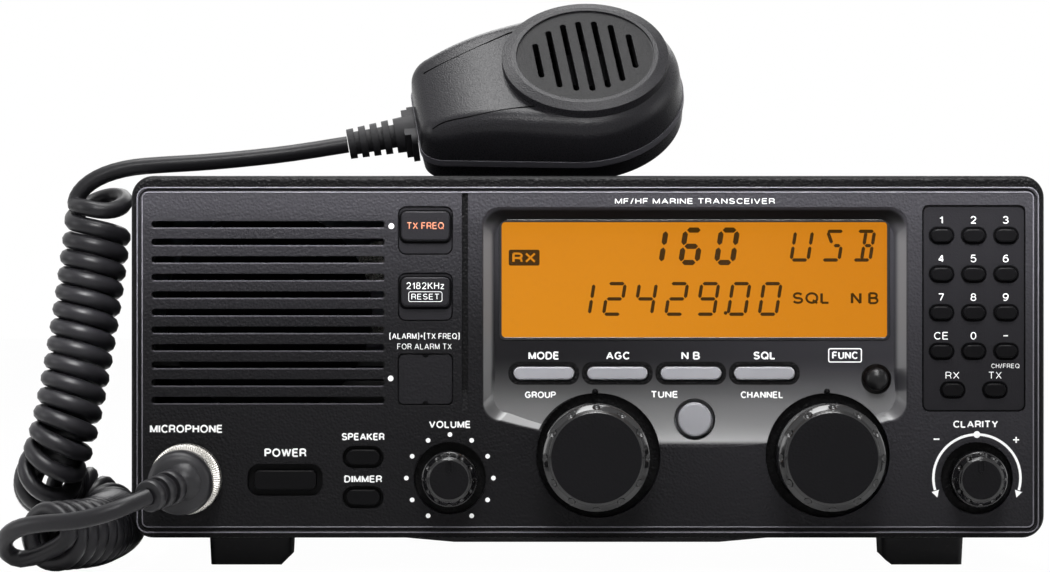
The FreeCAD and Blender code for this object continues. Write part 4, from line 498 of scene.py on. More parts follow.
def make_materials():
    """Every finish of the radio by its name."""
    return {
        "panel": panel_moulding("panel_grain", grey(0.034)),
        "panel_plain": moulded("plain_grain", grey(0.012), 0.42, PANEL_GRAIN, 0.16, 0.08),
        "knob_face": moulded("knob_grain", grey(0.006), 0.46, 0.8, 0.08, 0.06),
        # A light grey that paints the highlight on the raised lines along the panel's frame
        "edge": smooth_plastic("painted_edge_highlight", grey(0.14), gloss=0.3),
        "band": moulded("grey_band", grey(0.1), 0.4, 0.5, 0.02, 0.2),
        # Black: the microphone's element, and painted shade in the gaps round keys and in the microphone's
        # creases
        "dark": rubber("black_and_gap_shade", BLACK, 0.8, 0.02),
        "ring": knurled_metal("knurled_ring", NICKEL, *PLUG, PLUG_TEETH),
        "keypad": moulded("keypad_plastic", grey(0.013), 0.45, 0.5, 0.05, 0.07),
        "square_key": moulded("square_key_plastic", grey(0.014), 0.4, 0.5, 0.03, 0.08),
        "key": smooth_plastic("key_plastic", grey(0.003), 0.32, 0.001, 0.05),
        "silver": smooth_plastic("silver_paint", SILVER, 0.3, 0.04),
        "dome": smooth_plastic("dome_gloss", grey(0.003), 0.3, 0.001, 0.22),
        "gloss": smooth_plastic("black_gloss", grey(0.004), 0.12, 0.001, 0.5),
        "mic": mic_moulding("mic_grain", grey(0.016)),
        "cover": textured_paint("cover_paint", grey(0.014)),
        "sink": cast_metal("black_anodised", grey(0.012), 0.45, 0.6),
        "cast": cast_metal("cast_alloy", grey(0.42), 0.45),
        "cone": rubber("speaker_cone", BLACK, 0.8, 0.02),
        "rubber": rubber("foot_rubber", grey(0.011), 0.6),
        "cord": rubber("cord_rubber", grey(0.012), 0.36, 0.2),
        "boot": rubber("boot_rubber", grey(0.013), 0.38, 0.28),
        "plated": plated("nickel_plate", NICKEL),
        "screw": plated("black_screw", grey(0.05), 0.35),
        "socket": smooth_plastic("socket_plastic", grey(0.02), 0.4),
        "board": circuit_board("board_mask"),
        "amber": amber_light("amber_display"),
        "glass": window_glass("window_glass"),
        # The prints glow a little: painted light that makes them look brightly lit
        "white": printed("white_print", PRINT_WHITE, 0.6),
        "orange": printed("orange_print", PRINT_ORANGE, 0.5),
        "segment": segment_ink("display_segment"),
    }


NODE_FINISH = {
    "panel": ["front_panel"],
    "panel_plain": ["blank_cover"],
    "keypad": ["keypad_panel"],
    "key": ["speaker_key", "dimmer_key", "power_key"],
    "square_key": ["send_frequency_key", "distress_frequency_key"],
    "silver": ["mode_key", "agc_key", "noise_blanker_key", "squelch_key", "tune_key"],
    "gloss": ["function_key", "group_knob", "channel_knob", "volume_knob", "clarity_knob"],
    "mic": ["mic_front_shell", "mic_back_shell", "talk_key"],
    "cover": ["top_cover", "bottom_cover"],
    "sink": ["heat_sink"],
    "cast": ["chassis", "rotary_controls"],
    "cone": ["speaker"],
    "rubber": ["feet", "mic_gland"],
    "band": ["mic_gasket"],
    "dark": ["mic_element"],
    "screw": ["cover_screws", "mic_fixings"],
    "plated": ["mic_socket", "antenna_socket", "ground_terminal"],
    "boot": ["mic_plug"],
    "socket": ["rear_sockets"],
    "board": ["display_board", "main_board", "power_board"],
    "amber": ["display_module"],
    "glass": ["display_window"],
    "cord": ["mic_lead", "mic_coil", "mic_tail"],
}


finish_names = {}


def paint(piece, finish):
    """Gives a piece one finish."""
    piece.data.materials.clear()
    piece.data.materials.append(bpy.data.materials[finish_names[finish]])


def second_finish(piece, finish, chosen):
    """Gives the faces that a test picks another finish."""
    piece.data.materials.append(bpy.data.materials[finish_names[finish]])
    for face in piece.data.polygons:
        if chosen(face):
            face.material_index = 1


# Modelling helpers


def activate(piece):
    """Makes a piece the only one selected, and active."""
    bpy.ops.object.select_all(action="DESELECT")
    piece.select_set(True)
    bpy.context.view_layer.objects.active = piece
    return piece


def own(piece, name, body, finish):
    """Names a finished piece, and gives it its finish and its body."""
    piece.name = name
    piece.data.name = name
    paint(piece, finish)
    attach(piece, body)
    return piece


def settle(piece):
    """Applies a piece's place to its mesh, so that its object sits at the origin."""
    activate(piece)
    bpy.ops.object.transform_apply(location=True, rotation=True, scale=True)
    return piece


def join(pieces):
    """Joins pieces into the first one."""
    activate(pieces[0])
    for piece in pieces:
        piece.select_set(True)
    bpy.ops.object.join()
    return pieces[0]


def modify(piece, kind, **settings):
    """Adds a modifier and applies it."""
    activate(piece)
    modifier = piece.modifiers.new(kind.title(), kind)
    for key, value in settings.items():
        setattr(modifier, key, value)
    bpy.ops.object.modifier_apply(modifier=modifier.name)


def round_edges(piece, width):
    """Rounds the sharp edges of a piece, by a width in millimetres."""
    modify(piece, "BEVEL", width=width * MM, segments=2, limit_method="ANGLE")
    return piece


def smooth(piece, degrees):
    """Shades a piece smooth, apart from edges sharper than an angle."""
    activate(piece)
    bpy.ops.object.shade_smooth_by_angle(angle=math.radians(degrees))
    return piece


@contextmanager
def edit_mode():
    """Edit mode on the whole active mesh, which ends with its faces turned outwards."""
    bpy.ops.object.mode_set(mode="EDIT")
    bpy.ops.mesh.select_all(action="SELECT")
    yield
    bpy.ops.mesh.select_all(action="SELECT")
    bpy.ops.mesh.normals_make_consistent(inside=False)
    bpy.ops.object.mode_set(mode="OBJECT")


def extrude(distance):
    """Extrudes what is selected along Y, by millimetres."""
    bpy.ops.mesh.extrude_region_move(TRANSFORM_OT_translate={"value": (0, distance * MM, 0)})


def turned(centre, profile, count=96):
    """A round solid along Y: rings of (distance along Y, radius), from its first end, in millimetres."""
    centre = Vector(centre)
    first_y, first_radius = profile[0]
    bpy.ops.mesh.primitive_circle_add(
        vertices=count, radius=first_radius * MM, fill_type="NGON",
        location=centre + at(0, first_y, 0), rotation=(math.pi / 2, 0, 0),
    )
    piece = settle(bpy.context.object)
    with edit_mode():
        for (last_y, last_radius), (y, radius) in zip(profile, profile[1:]):
            extrude(y - last_y)
            share = radius / last_radius
            bpy.ops.transform.resize(value=(share, 1, share), center_override=centre + at(0, y, 0))
    return piece


def flat_piece(place, width, height, turn=0.0):
    """A flat box facing the viewer, turned in its plane."""
    bpy.ops.mesh.primitive_plane_add(size=1, location=place, rotation=(math.pi / 2, -turn, 0))
    piece = bpy.context.object
    piece.scale = (width * MM, height * MM, 1)
    return settle(piece)


def carve(piece, cutters):
    """Cuts tools out of a piece and removes them."""
    tool = join(cutters)
    modify(piece, "BOOLEAN", object=tool, operation="DIFFERENCE", solver="EXACT")
    bpy.data.objects.remove(tool)


def new_object(name, data):
    """Adds an object with its data to the scene."""
    made = bpy.data.objects.new(name, data)
    bpy.context.collection.objects.link(made)
    return made


def add_line(curve, kind, places):
    """Adds a line through places, in metres, to a curve."""
    line = curve.splines.new(kind)
    line.points.add(len(places) - 1)
    for point, place in zip(line.points, places):
        point.co = (*place, 1)
    return line


def new_curve(name):
    """Curve data without lines."""
    curve = bpy.data.curves.new(name, "CURVE")
    curve.dimensions = "3D"
    return curve


def thicken(curve, radius, resolution):
    """Makes a curve round with closed ends, by a radius in millimetres, and turns it into a mesh."""
    curve.data.bevel_depth = radius * MM
    curve.data.bevel_resolution = resolution
    curve.data.use_fill_caps = True
    activate(curve)
    bpy.ops.object.convert(target="MESH")
    return bpy.context.object


# Lettering and marks


def arc(x, y, wide, high, start, end):
    """Points of part of an ellipse, between two angles in degrees."""
    steps = max(4, int(abs(end - start) / 22))
    angles = [math.radians(start + (end - start) * i / steps) for i in range(steps + 1)]
    return [(x + wide * math.cos(a), y + high * math.sin(a)) for a in angles]


BOWL = arc(0.36, 0.73, 0.28, 0.27, 90, -90) + [(0, 0.46)]
ROUND = arc(0.42, 0.5, 0.42, 0.5, 0, 360)
LETTERS = {
    "A": [[(0, 0), (0.39, 1), (0.78, 0)], [(0.14, 0.33), (0.64, 0.33)]],
    "B": [[(0, 0), (0, 1)] + arc(0.34, 0.76, 0.26, 0.24, 90, -90) + [(0, 0.52)],
          [(0, 0.52)] + arc(0.38, 0.26, 0.28, 0.26, 90, -90) + [(0, 0)]],
    "C": [arc(0.4, 0.5, 0.4, 0.5, 42, 318)],
    "D": [[(0, 0), (0, 1)] + arc(0.3, 0.5, 0.4, 0.5, 90, -90) + [(0, 0)]],
    "E": [[(0.58, 1), (0, 1), (0, 0), (0.6, 0)], [(0, 0.52), (0.54, 0.52)]],
    "F": [[(0.56, 1), (0, 1), (0, 0)], [(0, 0.5), (0.5, 0.5)]],
    "G": [arc(0.4, 0.5, 0.4, 0.5, 42, 345) + [(0.79, 0.46), (0.44, 0.46)]],
    "H": [[(0, 0), (0, 1)], [(0.66, 0), (0.66, 1)], [(0, 0.52), (0.66, 0.52)]],
    "I": [[(0, 0), (0, 1)]],
    "K": [[(0, 0), (0, 1)], [(0.64, 1), (0, 0.36)], [(0.22, 0.58), (0.68, 0)]],
    "L": [[(0, 1), (0, 0), (0.54, 0)]],
    "M": [[(0, 0), (0, 1), (0.4, 0.03), (0.8, 1), (0.8, 0)]],
    "N": [[(0, 0), (0, 1), (0.68, 0), (0.68, 1)]],
    "O": [ROUND],
    "P": [[(0, 0), (0, 1)] + BOWL],
    "Q": [ROUND, [(0.5, 0.27), (0.84, -0.04)]],
    "R": [[(0, 0), (0, 1)] + BOWL, [(0.36, 0.46), (0.58, 0.36), (0.64, 0)]],
    "S": [arc(0.33, 0.745, 0.3, 0.255, 22, 270) + arc(0.33, 0.25, 0.33, 0.25, 90, -162)],
    "T": [[(0, 1), (0.68, 1)], [(0.34, 1), (0.34, 0)]],
    "U": [[(0, 1), (0, 0.32)] + arc(0.33, 0.32, 0.33, 0.32, 180, 360) + [(0.66, 1)]],
    "V": [[(0, 1), (0.36, 0), (0.72, 1)]],
    "W": [[(0, 1), (0.26, 0), (0.52, 1), (0.78, 0), (1.04, 1)]],
    "X": [[(0, 0), (0.68, 1)], [(0, 1), (0.68, 0)]],
    "Y": [[(0, 1), (0.35, 0.45), (0.7, 1)], [(0.35, 0.45), (0.35, 0)]],
    "z": [[(0, 0.7), (0.48, 0.7), (0, 0), (0.5, 0)]],
    "0": [arc(0.3, 0.5, 0.3, 0.5, 0, 360)],
    "1": [[(0, 0.74), (0.14, 0.78), (0.26, 1), (0.26, 0)]],
    "2": [arc(0.3, 0.7, 0.28, 0.3, 170, -38) + [(0, 0), (0.6, 0)]],
    "3": [arc(0.29, 0.75, 0.26, 0.25, 160, -90) + arc(0.29, 0.26, 0.3, 0.26, 90, -160)],
    "4": [[(0.45, 0), (0.45, 1), (0, 0.28), (0.62, 0.28)]],
    "5": [[(0.54, 1), (0.12, 1), (0.05, 0.5)] + arc(0.3, 0.33, 0.3, 0.33, 125, -155)],
    "6": [arc(0.3, 0.32, 0.3, 0.32, 0, 360), arc(0.38, 0.4, 0.38, 0.6, 62, 190)],
    "7": [[(0, 1), (0.58, 1), (0.2, 0)]],
    "8": [arc(0.3, 0.76, 0.25, 0.24, -90, 270), arc(0.3, 0.27, 0.3, 0.27, 90, 450)],
    "9": [arc(0.3, 0.68, 0.3, 0.32, 0, 360), arc(0.22, 0.6, 0.38, 0.6, -118, 10)],
    "/": [[(0, -0.05), (0.32, 1.05)]],
    "[": [[(0.2, 1.12), (0, 1.12), (0, -0.12), (0.2, -0.12)]],
    "]": [[(0, 1.12), (0.2, 1.12), (0.2, -0.12), (0, -0.12)]],
    "+": [[(0, 0.5), (0.5, 0.5)], [(0.25, 0.25), (0.25, 0.75)]],
    "-": [[(0, 0.45), (0.45, 0.45)]],
}
LETTER_GAP, WORD_GAP = 0.33, 0.42
SHARP_TURN = math.radians(75)
BOLD, THIN, FINE = 0.215, 0.15, 0.12
TALL_PRINT = 3.2
TINY = 1e-6
PRINT_RISE, PRINT_FACE, PRINT_SUNK = 0.05, 0.04, 0.02


def strokes_of(text):
    """The strokes of a line of words, in units of the letters' height."""
    strokes, left = [], 0.0
    for letter in text:
        if letter == " ":
            left += WORD_GAP
            continue
        shapes = LETTERS[letter]
        strokes += [[(left + x, y) for x, y in shape] for shape in shapes]
        left += max(x for shape in shapes for x, _ in shape) + LETTER_GAP
    return strokes


def split_at_corners(strokes):
    """Strokes cut where they turn sharply, because a bevelled line would narrow there."""
    parts = []
    for stroke in strokes:
        part = [stroke[0], stroke[1]]
        for spot in stroke[2:]:
            before = math.atan2(part[-1][1] - part[-2][1], part[-1][0] - part[-2][0])
            after = math.atan2(spot[1] - part[-1][1], spot[0] - part[-1][0])
            turn = abs((after - before + math.pi) % math.tau - math.pi)
            if turn > SHARP_TURN:
                parts.append(part)
                part = [part[-1]]
            part.append(spot)
        parts.append(part)
    return parts


def extent(values):
    """The middle and the length of a row of numbers."""
    return (min(values) + max(values)) / 2, max(max(values) - min(values), TINY)


def words(text, x, z, width, height, surface=None, weight=BOLD):
    """Printed words, centred on a place of the panel, with their whole width and height in millimetres."""
    strokes = strokes_of(text)
    spots = [spot for stroke in strokes for spot in stroke]
    middle_x, wide = extent([u for u, _ in spots])
    middle_z, high = extent([v for _, v in spots])
    thick = weight * min(height, TALL_PRINT) if high > TINY else height
    share_x, share_z = (width - thick) / wide, (height - thick) / high
    curve = new_curve(text)
    for stroke in split_at_corners(strokes):
        add_line(curve, "POLY", [
            on_panel(x + (u - middle_x) * share_x, z + (v - middle_z) * share_z) for u, v in stroke
        ])
    label = thicken(new_object(text, curve), thick / 2, 1)
    for vertex in label.data.vertices:
        place = vertex.co / MM
        in_front = place.y < FRONT / MM + thick * 0.05
        depth = surface(place.x, place.z) if surface else 0
        vertex.co = on_panel(place.x, place.z, depth - PRINT_FACE if in_front else depth + PRINT_SUNK)
    label.data.update()
    return label


def scoop_depth(x, z):
    """How deep the scoop's floor lies behind the panel at a height."""
    flat_end, low, deep = props().scoop_floor_end, props().scoop_low, props().scoop_depth
    if z > flat_end:
        return deep
    run = flat_end - low
    radius = (run * run + deep * deep) / (2 * deep)
    return deep - (radius - math.sqrt(radius * radius - (flat_end - z) ** 2))


def on_square_key(x, z):
    """The depth of a square key's face, which stands in front of the panel."""
    return -SQUARE_KEY_RISE


def on_plate(x, z):
    """The depth of the keypad's plate."""
    return PLATE_DEPTH


def flat_dot(x, z, radius, depth=0.0):
    """A printed dot."""
    return turned(on_panel(x, z, depth + PRINT_SUNK), [(0, radius), (-0.06, radius)], 24)


def frame_mark(x, z, width, height, line, depth=0.0, corner=0.7, rise=PRINT_RISE):
    """An outline, printed or raised: a box with rounded corners."""
    piece = flat_piece(on_panel(x, z, depth + PRINT_SUNK), width, height)
    with edit_mode():
        bpy.ops.mesh.bevel(offset=corner * MM, affect="VERTICES", segments=5)
        bpy.ops.mesh.inset(thickness=line * MM, depth=0)
        bpy.ops.mesh.delete(type="FACE")
        bpy.ops.mesh.select_all(action="SELECT")
        extrude(-rise)
    return piece


def outline_mark(name, spots, depth=0.0):
    """A printed shape with the given outline on the panel."""
    mesh = bpy.data.meshes.new(name)
    corners = [on_panel(x, z, depth + PRINT_SUNK) for x, z in spots]
    mesh.from_pydata(corners, [], [list(range(len(corners)))])
    piece = activate(new_object(name, mesh))
    with edit_mode():
        extrude(-PRINT_RISE)
    return piece


# Text, its middle across and up, its width and height, and for some the surface and the weight

LEGENDS = [
    ("MF/HF MARINE TRANSCEIVER", 34.2, 117.9, 51.0, 2.0, None, THIN),
    ("VOLUME", -44.0, 46.6, 13.4, 2.4),
    ("CLARITY", 123.8, 46.7, 14.4, 2.4),
    ("SPEAKER", -71.7, 42.7, 13.7, 2.4),
    ("DIMMER", -71.7, 29.2, 12.1, 2.4),
    ("POWER", -96.5, 37.6, 13.4, 2.8),
    ("MICROPHONE", -128.1, 45.2, 23.3, 2.7),
    ("-", 111.3, 41.9, 2.4, 0.55),
    ("+", 136.7, 41.7, 2.4, 2.4),
    ("[ALARM]+[TX FREQ]", -52.1, 74.8, 22.4, 2.3, None, FINE),
    ("FOR ALARM TX", -52.1, 71.5, 17.4, 1.9, None, FINE),
]
SCOOP_LEGENDS = [
    ("MODE", -14.0, 68.5, 9.9, 2.6),
    ("AGC", 9.7, 68.5, 7.6, 2.6),
    ("N B", 33.0, 68.5, 6.0, 2.6),
    ("SQL", 56.6, 68.5, 7.1, 2.7),
    ("FUNC", 82.4, 68.6, 8.3, 2.5),
    ("GROUP", -15.1, 56.0, 10.0, 2.2),
    ("TUNE", 24.6, 56.1, 8.8, 2.3),
    ("CHANNEL", 55.8, 56.0, 13.7, 2.3),
]

# Text, column and row, and width

KEYPAD_LEGENDS = [
    ("1", 0, 0, 1.1), ("2", 1, 0, 1.9), ("3", 2, 0, 1.9),
    ("4", 0, 1, 1.9), ("5", 1, 1, 1.9), ("6", 2, 1, 1.9),
    ("7", 0, 2, 1.9), ("8", 1, 2, 1.9), ("9", 2, 2, 1.9),
    ("CE", 0, 3, 4.6), ("0", 1, 3, 1.9), ("-", 2, 3, 1.9),
]
FIRST_PAD_KEY, PAD_PITCH = (112.8, 111.9), (10.3, 12.33)
DIGIT_HEIGHT, DASH_HEIGHT = 2.5, 0.45
PLATE_LEGENDS = [
    ("CH/FREQ", 133.3, 65.3, 9.0, 1.6), ("RX", 116.4, 62.3, 4.4, 2.3), ("TX", 130.0, 62.3, 4.2, 2.3),
]
SEND_LEGEND = ("TX FREQ", SQUARE_KEY_X, 110.0, 11.9, 2.3, on_square_key, THIN)
DISTRESS_LEGENDS = [
    ("2182KHz", SQUARE_KEY_X, 90.9, 12.1, 2.2, on_square_key, FINE),
    ("RESET", SQUARE_KEY_X, 87.4, 8.9, 1.85, on_square_key, FINE),
]

# Frames round words: their middle, width, height, thickness and depth; and the dots beside keys

FUNCTION_FRAME = (82.4, 68.6, 10.8, 4.6, 0.35, SCOOP["depth"])
RESET_FRAME = (SQUARE_KEY_X, 87.4, 10.8, 3.3, 0.16, -SQUARE_KEY_RISE)
KEY_DOTS = [(-62.7, 109.9, 0.9), (-62.9, 61.3, 0.9)]
SCALE_RADIUS = 13.9


# The display's characters: segments of a slanted figure, by their ends in a unit cell

SEGMENTS = {
    "a": ((0, 1), (1, 1)), "b": ((1, 1), (1, 0.5)), "c": ((1, 0.5), (1, 0)), "d": ((0, 0), (1, 0)),
    "e": ((0, 0.5), (0, 0)), "f": ((0, 1), (0, 0.5)), "g": ((0, 0.5), (1, 0.5)),
    "h": ((0.5, 1), (0.5, 0.5)), "i": ((0.5, 0.5), (0.5, 0)), "j": ((0.5, 0.5), (1, 0.5)),
    "k": ((0.05, 1), (0.45, 0.55)),
}
FIGURES = {
    "0": "abcdef", "1": "bc", "2": "abged", "4": "fgbc", "6": "afgedc", "9": "abcdfg",
    "U": "bcdef", "S": "akjcd", "B": "abcdhij",
}

# Text, left end and height of its foot, pitch, and each character's width, height and thickness

DISPLAY_ROWS = [
    ("160", 18.3, 98.3, 11.38, 5.1, 10.4, 1.7),
    ("USB", 64.9, 99.1, 9.9, 5.4, 9.2, 1.1),
    ("1242900", -4.9, 81.8, 9.94, 5.4, 9.8, 1.1),
]
DISPLAY_WORDS = [("SQL", 71.3, 86.9, 12.0, 4.0), ("N B", 88.4, 86.9, 9.0, 4.0)]
DISPLAY_POINT = (44.0, 82.2)
DISPLAY_TAB, TAB_WIDTH, TAB_HEIGHT, TAB_CORNER = (-20.3, 99.85), 9.9, 5.1, 0.6
DISPLAY_WEIGHT, SIGN_WEIGHT = 0.26, 0.24
LAYER = 0.06


def segment(start, end, width):
    """One bar of the display with pointed ends, lying in the display's plane."""
    run = end - start
    piece = flat_piece((start + end) / 2, run.length / MM, width, math.atan2(run.z, run.x))
    with edit_mode():
        bpy.ops.mesh.bevel(offset=width * 0.45 * MM, affect="VERTICES", segments=1)
        extrude(0.03)
    return piece


def figure(character, left, low, width, height, thickness, depth):
    """A character of the display made of slanted segments."""
    slant = props().figure_slant
    gap = thickness * 0.24
    pieces = []
    for name in FIGURES[character]:
        ends = []
        for u, v in SEGMENTS[name]:
            x = left + u * width + v * height * slant
            ends.append(on_panel(x, low + v * height, depth))
        pull = (ends[1] - ends[0]).normalized() * gap * MM
        pieces.append(segment(ends[0] + pull, ends[1] - pull, thickness))
    return pieces


def eye():
    """The camera's place, in metres."""
    return on_panel(props().eye_x, props().eye_z, -props().eye_distance)


def behind(x, z, depth):
    """Where something that is seen at a place of the front plane lies when it is that deep."""
    eye_x, eye_z = props().eye_x, props().eye_z
    share = 1 + depth / props().eye_distance
    return eye_x + (x - eye_x) * share, eye_z + (z - eye_z) * share


# Properties


def number(name, description, default, **more):
    """A property that holds a number."""
    return bpy.props.FloatProperty(name=name, description=description, default=default, **more)


class RadioProperties(bpy.types.PropertyGroup):
    """Sizes in millimetres of what is added to the frame, and the place of the camera."""

    eye_x: number("Eye X", "Camera's place across", -20.03)
    eye_z: number("Eye Z", "Camera's height", 90.8)
    eye_distance: number("Eye distance", "From the camera to the panel's front plane", 1400.0)
    lens: number("Lens", "Focal length of the camera", 150.4, unit="CAMERA")
    scoop_floor_end: number("Scoop floor end", "Height where the display's floor begins to rise", 66.0)
    scoop_low: number("Scoop low", "Height where the floor meets the panel", 39.3)
    scoop_depth: number("Scoop depth", "Depth of the floor", 4.0)
    figure_slant: number("Figure slant", "Lean of the display's characters", 0.16)
    cord_diameter: number("Cord diameter", "Outside of the cord", 5.7)
    coil_pitch: number("Coil pitch", "Advance of the curly cord for each turn", 5.75)
    open_turn_lift: number("Open turn", "How far the back of the first turn stands up", 9.0)
    coil_radius: number("Coil radius", "From the coil's axis to the cord's centre", 8.65)
    turn_points: bpy.props.IntProperty(
        name="Turn points", description="Points of the spline for each turn", default=12
    )


def props():
    """The radio's properties."""
    return bpy.context.scene.radio


# The cord's route, as the CAD frame has it, in millimetres

LEAD_ROUTE = [
    (-78.37, -101.28, 137.41), (-94.5, -101.9, 134.7), (-110.6, -103.0, 132.8), (-126.0, -103.4, 131.4),
    (-139.0, -103.3, 130.7), (-150.5, -103.2, 129.8), (-159.8, -103.4, 127.0),
    (-166.0, -103.7, 122.6), (-168.4, -104.0, 117.2),
]
COIL_ROUTE = [
    (-159.6, -103.5, 116.5), (-161.8, -104.6, 98.0), (-164.6, -106.2, 78.0),
    (-167.8, -108.4, 58.0), (-171.6, -110.4, 40.0), (-176.2, -106.2, 28.4),
    (-178.6, -92.4, 24.6), (-178.8, -63.4, 24.2), (-157.8, -63.2, 11.9),
    (-157.2, -98.0, 11.8), (-158.0, -131.0, 11.8), (-161.4, -148.6, 11.8),
    (-170.6, -165.4, 11.8),
]
TAIL_ROUTE = [
    (-178.6, -157.4, 3.4), (-184.4, -160.0, 6.6), (-184.0, -167.0, 11.6), (-178.6, -174.0, 15.4),
    (-170.0, -179.4, 17.0), (-160.8, -183.6, 17.6), (-151.6, -185.6, 19.6), (-143.2, -184.4, 22.8),
    (-137.4, -180.0, 25.2),
]
FIRST_COIL_ANGLE = math.tau / 6


def spline(name, places, resolution):
    """A curve of one smooth NURBS spline through a route's control points, in metres."""
    curve = new_curve(name)
    curve.resolution_u = resolution
    line = add_line(curve, "NURBS", places)
    line.order_u = 3
    line.use_endpoint_u = True
    return new_object(name, curve)


def line_of(curve):
    """The points of a curve's own line."""
    bpy.context.view_layer.update()
    mesh = bpy.data.meshes.new_from_object(curve.evaluated_get(bpy.context.evaluated_depsgraph_get()))
    points = [vertex.co.copy() for vertex in mesh.vertices]
    bpy.data.meshes.remove(mesh)
    return points


def first_turn_lift(angle):
    """The back of the coil's first turn stands up, where the lead pulls it open."""
    share = (angle - math.tau / 4) / (math.tau * 5 / 6)
    if not 0 < share < 1:
        return Vector((0, 0, 0))
    return Vector((0, 0, props().open_turn_lift * MM * math.sin(share * math.pi) ** 2))


def helix_points(axis_points):
    """Control points of the curly stretch: a left-handed helix round a smooth axis."""
    radius, step = props().coil_radius * MM, math.tau / props().turn_points
    across = Vector((-1, 0, 0))
    angle, next_angle = 0.0, FIRST_COIL_ANGLE
    points = []
    for before, here, after in zip(axis_points, axis_points[1:], axis_points[2:]):
        along = (after - before).normalized()
        across = (across - along * across.dot(along)).normalized()
        up = along.cross(across)
        into, out = (here - before).normalized(), (after - here).normalized()
        bend = into.angle(out) / max((after - before).length / 2, TINY)
        pitch = props().coil_pitch * MM / max(1 - radius * bend * 0.8, 0.7)
        angle += (here - before).length / pitch * math.tau
        while angle >= next_angle:
            offset = across * math.cos(next_angle) - up * math.sin(next_angle)
            points.append(here + offset * radius + first_turn_lift(next_angle))
            next_angle += step
    return points


def even(points, step):
    """Points along a line at an even distance."""
    made = [points[0]]
    left = step
    for start, end in zip(points, points[1:]):
        run = (end - start).length
        while run >= left > 0:
            start = start + (end - start).normalized() * left
            run -= left
            made.append(start)
            left = step
        left -= run
    return made


class RADIO_OT_cord(bpy.types.Operator):
    """Lays the microphone's cord: the lead, the curly stretch and the tail, as one line"""

    bl_idname = "radio.cord"
    bl_label = "Cord"

    def execute(self, context):
        axis = spline("coil_axis", [at(*spot) for spot in COIL_ROUTE], 24)
        axis_points = even(line_of(axis), 0.1 * MM)
        bpy.data.objects.remove(axis)
        lead, tail = ([at(*spot) for spot in route] for route in (LEAD_ROUTE, TAIL_ROUTE))
        cord = spline("mic_cord", lead + helix_points(axis_points) + tail, 3)
        path = line_of(cord)
        cord = thicken(cord, props().cord_diameter / 2, 3)
        bpy.ops.object.shade_smooth()
        cord.name = "mic_cord"
        paint(cord, "cord")
        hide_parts("mic_lead", "mic_coil", "mic_tail")
        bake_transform(cord)
        return {"FINISHED"}


# The radio's pieces


class RADIO_OT_finishes(bpy.types.Operator):
    """Makes the materials and gives the frame's own parts their finishes"""

    bl_idname = "radio.finishes"
    bl_label = "Finishes"

    def execute(self, context):
        for name, material in make_materials().items():
            finish_names[name] = material.name
        for name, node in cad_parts.items():
            group = [key for key, nodes in NODE_FINISH.items() if name in nodes]
            paint(node, group[0] if group else "key")
        return {"FINISHED"}


def ball_cutter(place, radius, reach):
    """A ball, stretched along Y, that hollows a dimple."""
    bpy.ops.mesh.primitive_uv_sphere_add(segments=20, ring_count=12, radius=radius * MM, location=place)
    ball = bpy.context.object
    ball.scale = (1, reach, 1)
    return settle(ball)


def around(x, z, angle, radius):
    """The place at an angle from the top, in radians, and a distance from an axis."""
    return x + radius * math.sin(angle), z + radius * math.cos(angle)


KNOB_RISE, KNOB_DIMPLES = 0.75, 12


class RADIO_OT_knobs(bpy.types.Operator):
    """Turns the four knobs, with dimpled rims and domed faces"""

    bl_idname = "radio.knobs"
    bl_label = "Knobs"

    def execute(self, context):
        for name, (x, z, shape) in KNOBS.items():
            self.knob(name, x, z, shape)
        return {"FINISHED"}

    def knob(self, name, x, z, shape):
        piece = turned(on_panel(x, z), self.profile(shape), 120)
        carve(piece, self.dimples(x, z, shape))
        if shape is SMALL_KNOB:
            pointer_z, depth = z + shape.face - 2.3, 0.1 - shape.reach
            piece = join([piece, frame_mark(x, pointer_z, 2.0, 4.0, 0.45, depth, 0.9, 0.45)])
        own(piece, f"{name}_knob_turned", f"{name}_knob_body", "gloss")
        smooth(piece, 30)
        centre = on_panel(x, z)

        def on_face(polygon):
            away = polygon.center - centre
            return math.hypot(away.x, away.z) < (shape.face - 0.3) * MM and polygon.normal.y < -0.5

        second_finish(piece, "knob_face", on_face)
        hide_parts(f"{name}_knob")

    def profile(self, shape):
        """The knob's rings: a straight rim, a cone, a lip and a slightly domed face."""
        radius, cone, lip, face = shape.radius, shape.cone, shape.lip, shape.face
        rings = [
            (cone + 0.6, radius), (cone + 0.2, radius - 0.1), (cone, radius - 0.35),
            (KNOB_RISE + 0.05, lip + 0.35), (KNOB_RISE, lip), (KNOB_RISE * 0.55, lip - 0.05),
            (KNOB_RISE * 0.2, face), (0.08, face - 0.35), (0.05, face * 0.75), (0.01, face * 0.4),
            (0, face * 0.1),
        ]
        return [(shape.base, radius + 0.2)] + [(y - shape.reach, ring) for y, ring in rings]

    def dimples(self, x, z, shape):
        """Twelve balls that hollow the cone, every third one farther out and lower."""
        cutters = []
        for step in range(KNOB_DIMPLES):
            notch = step % 3 == 0
            spot = around(x, z, math.tau * step / KNOB_DIMPLES, shape.radius - (0.1 if notch else 0.75))
            depth = shape.cone * (0.5 if notch else 0.3) - shape.reach
            cutters.append(ball_cutter(on_panel(*spot, depth), shape.dimple, shape.stretch))
        return cutters


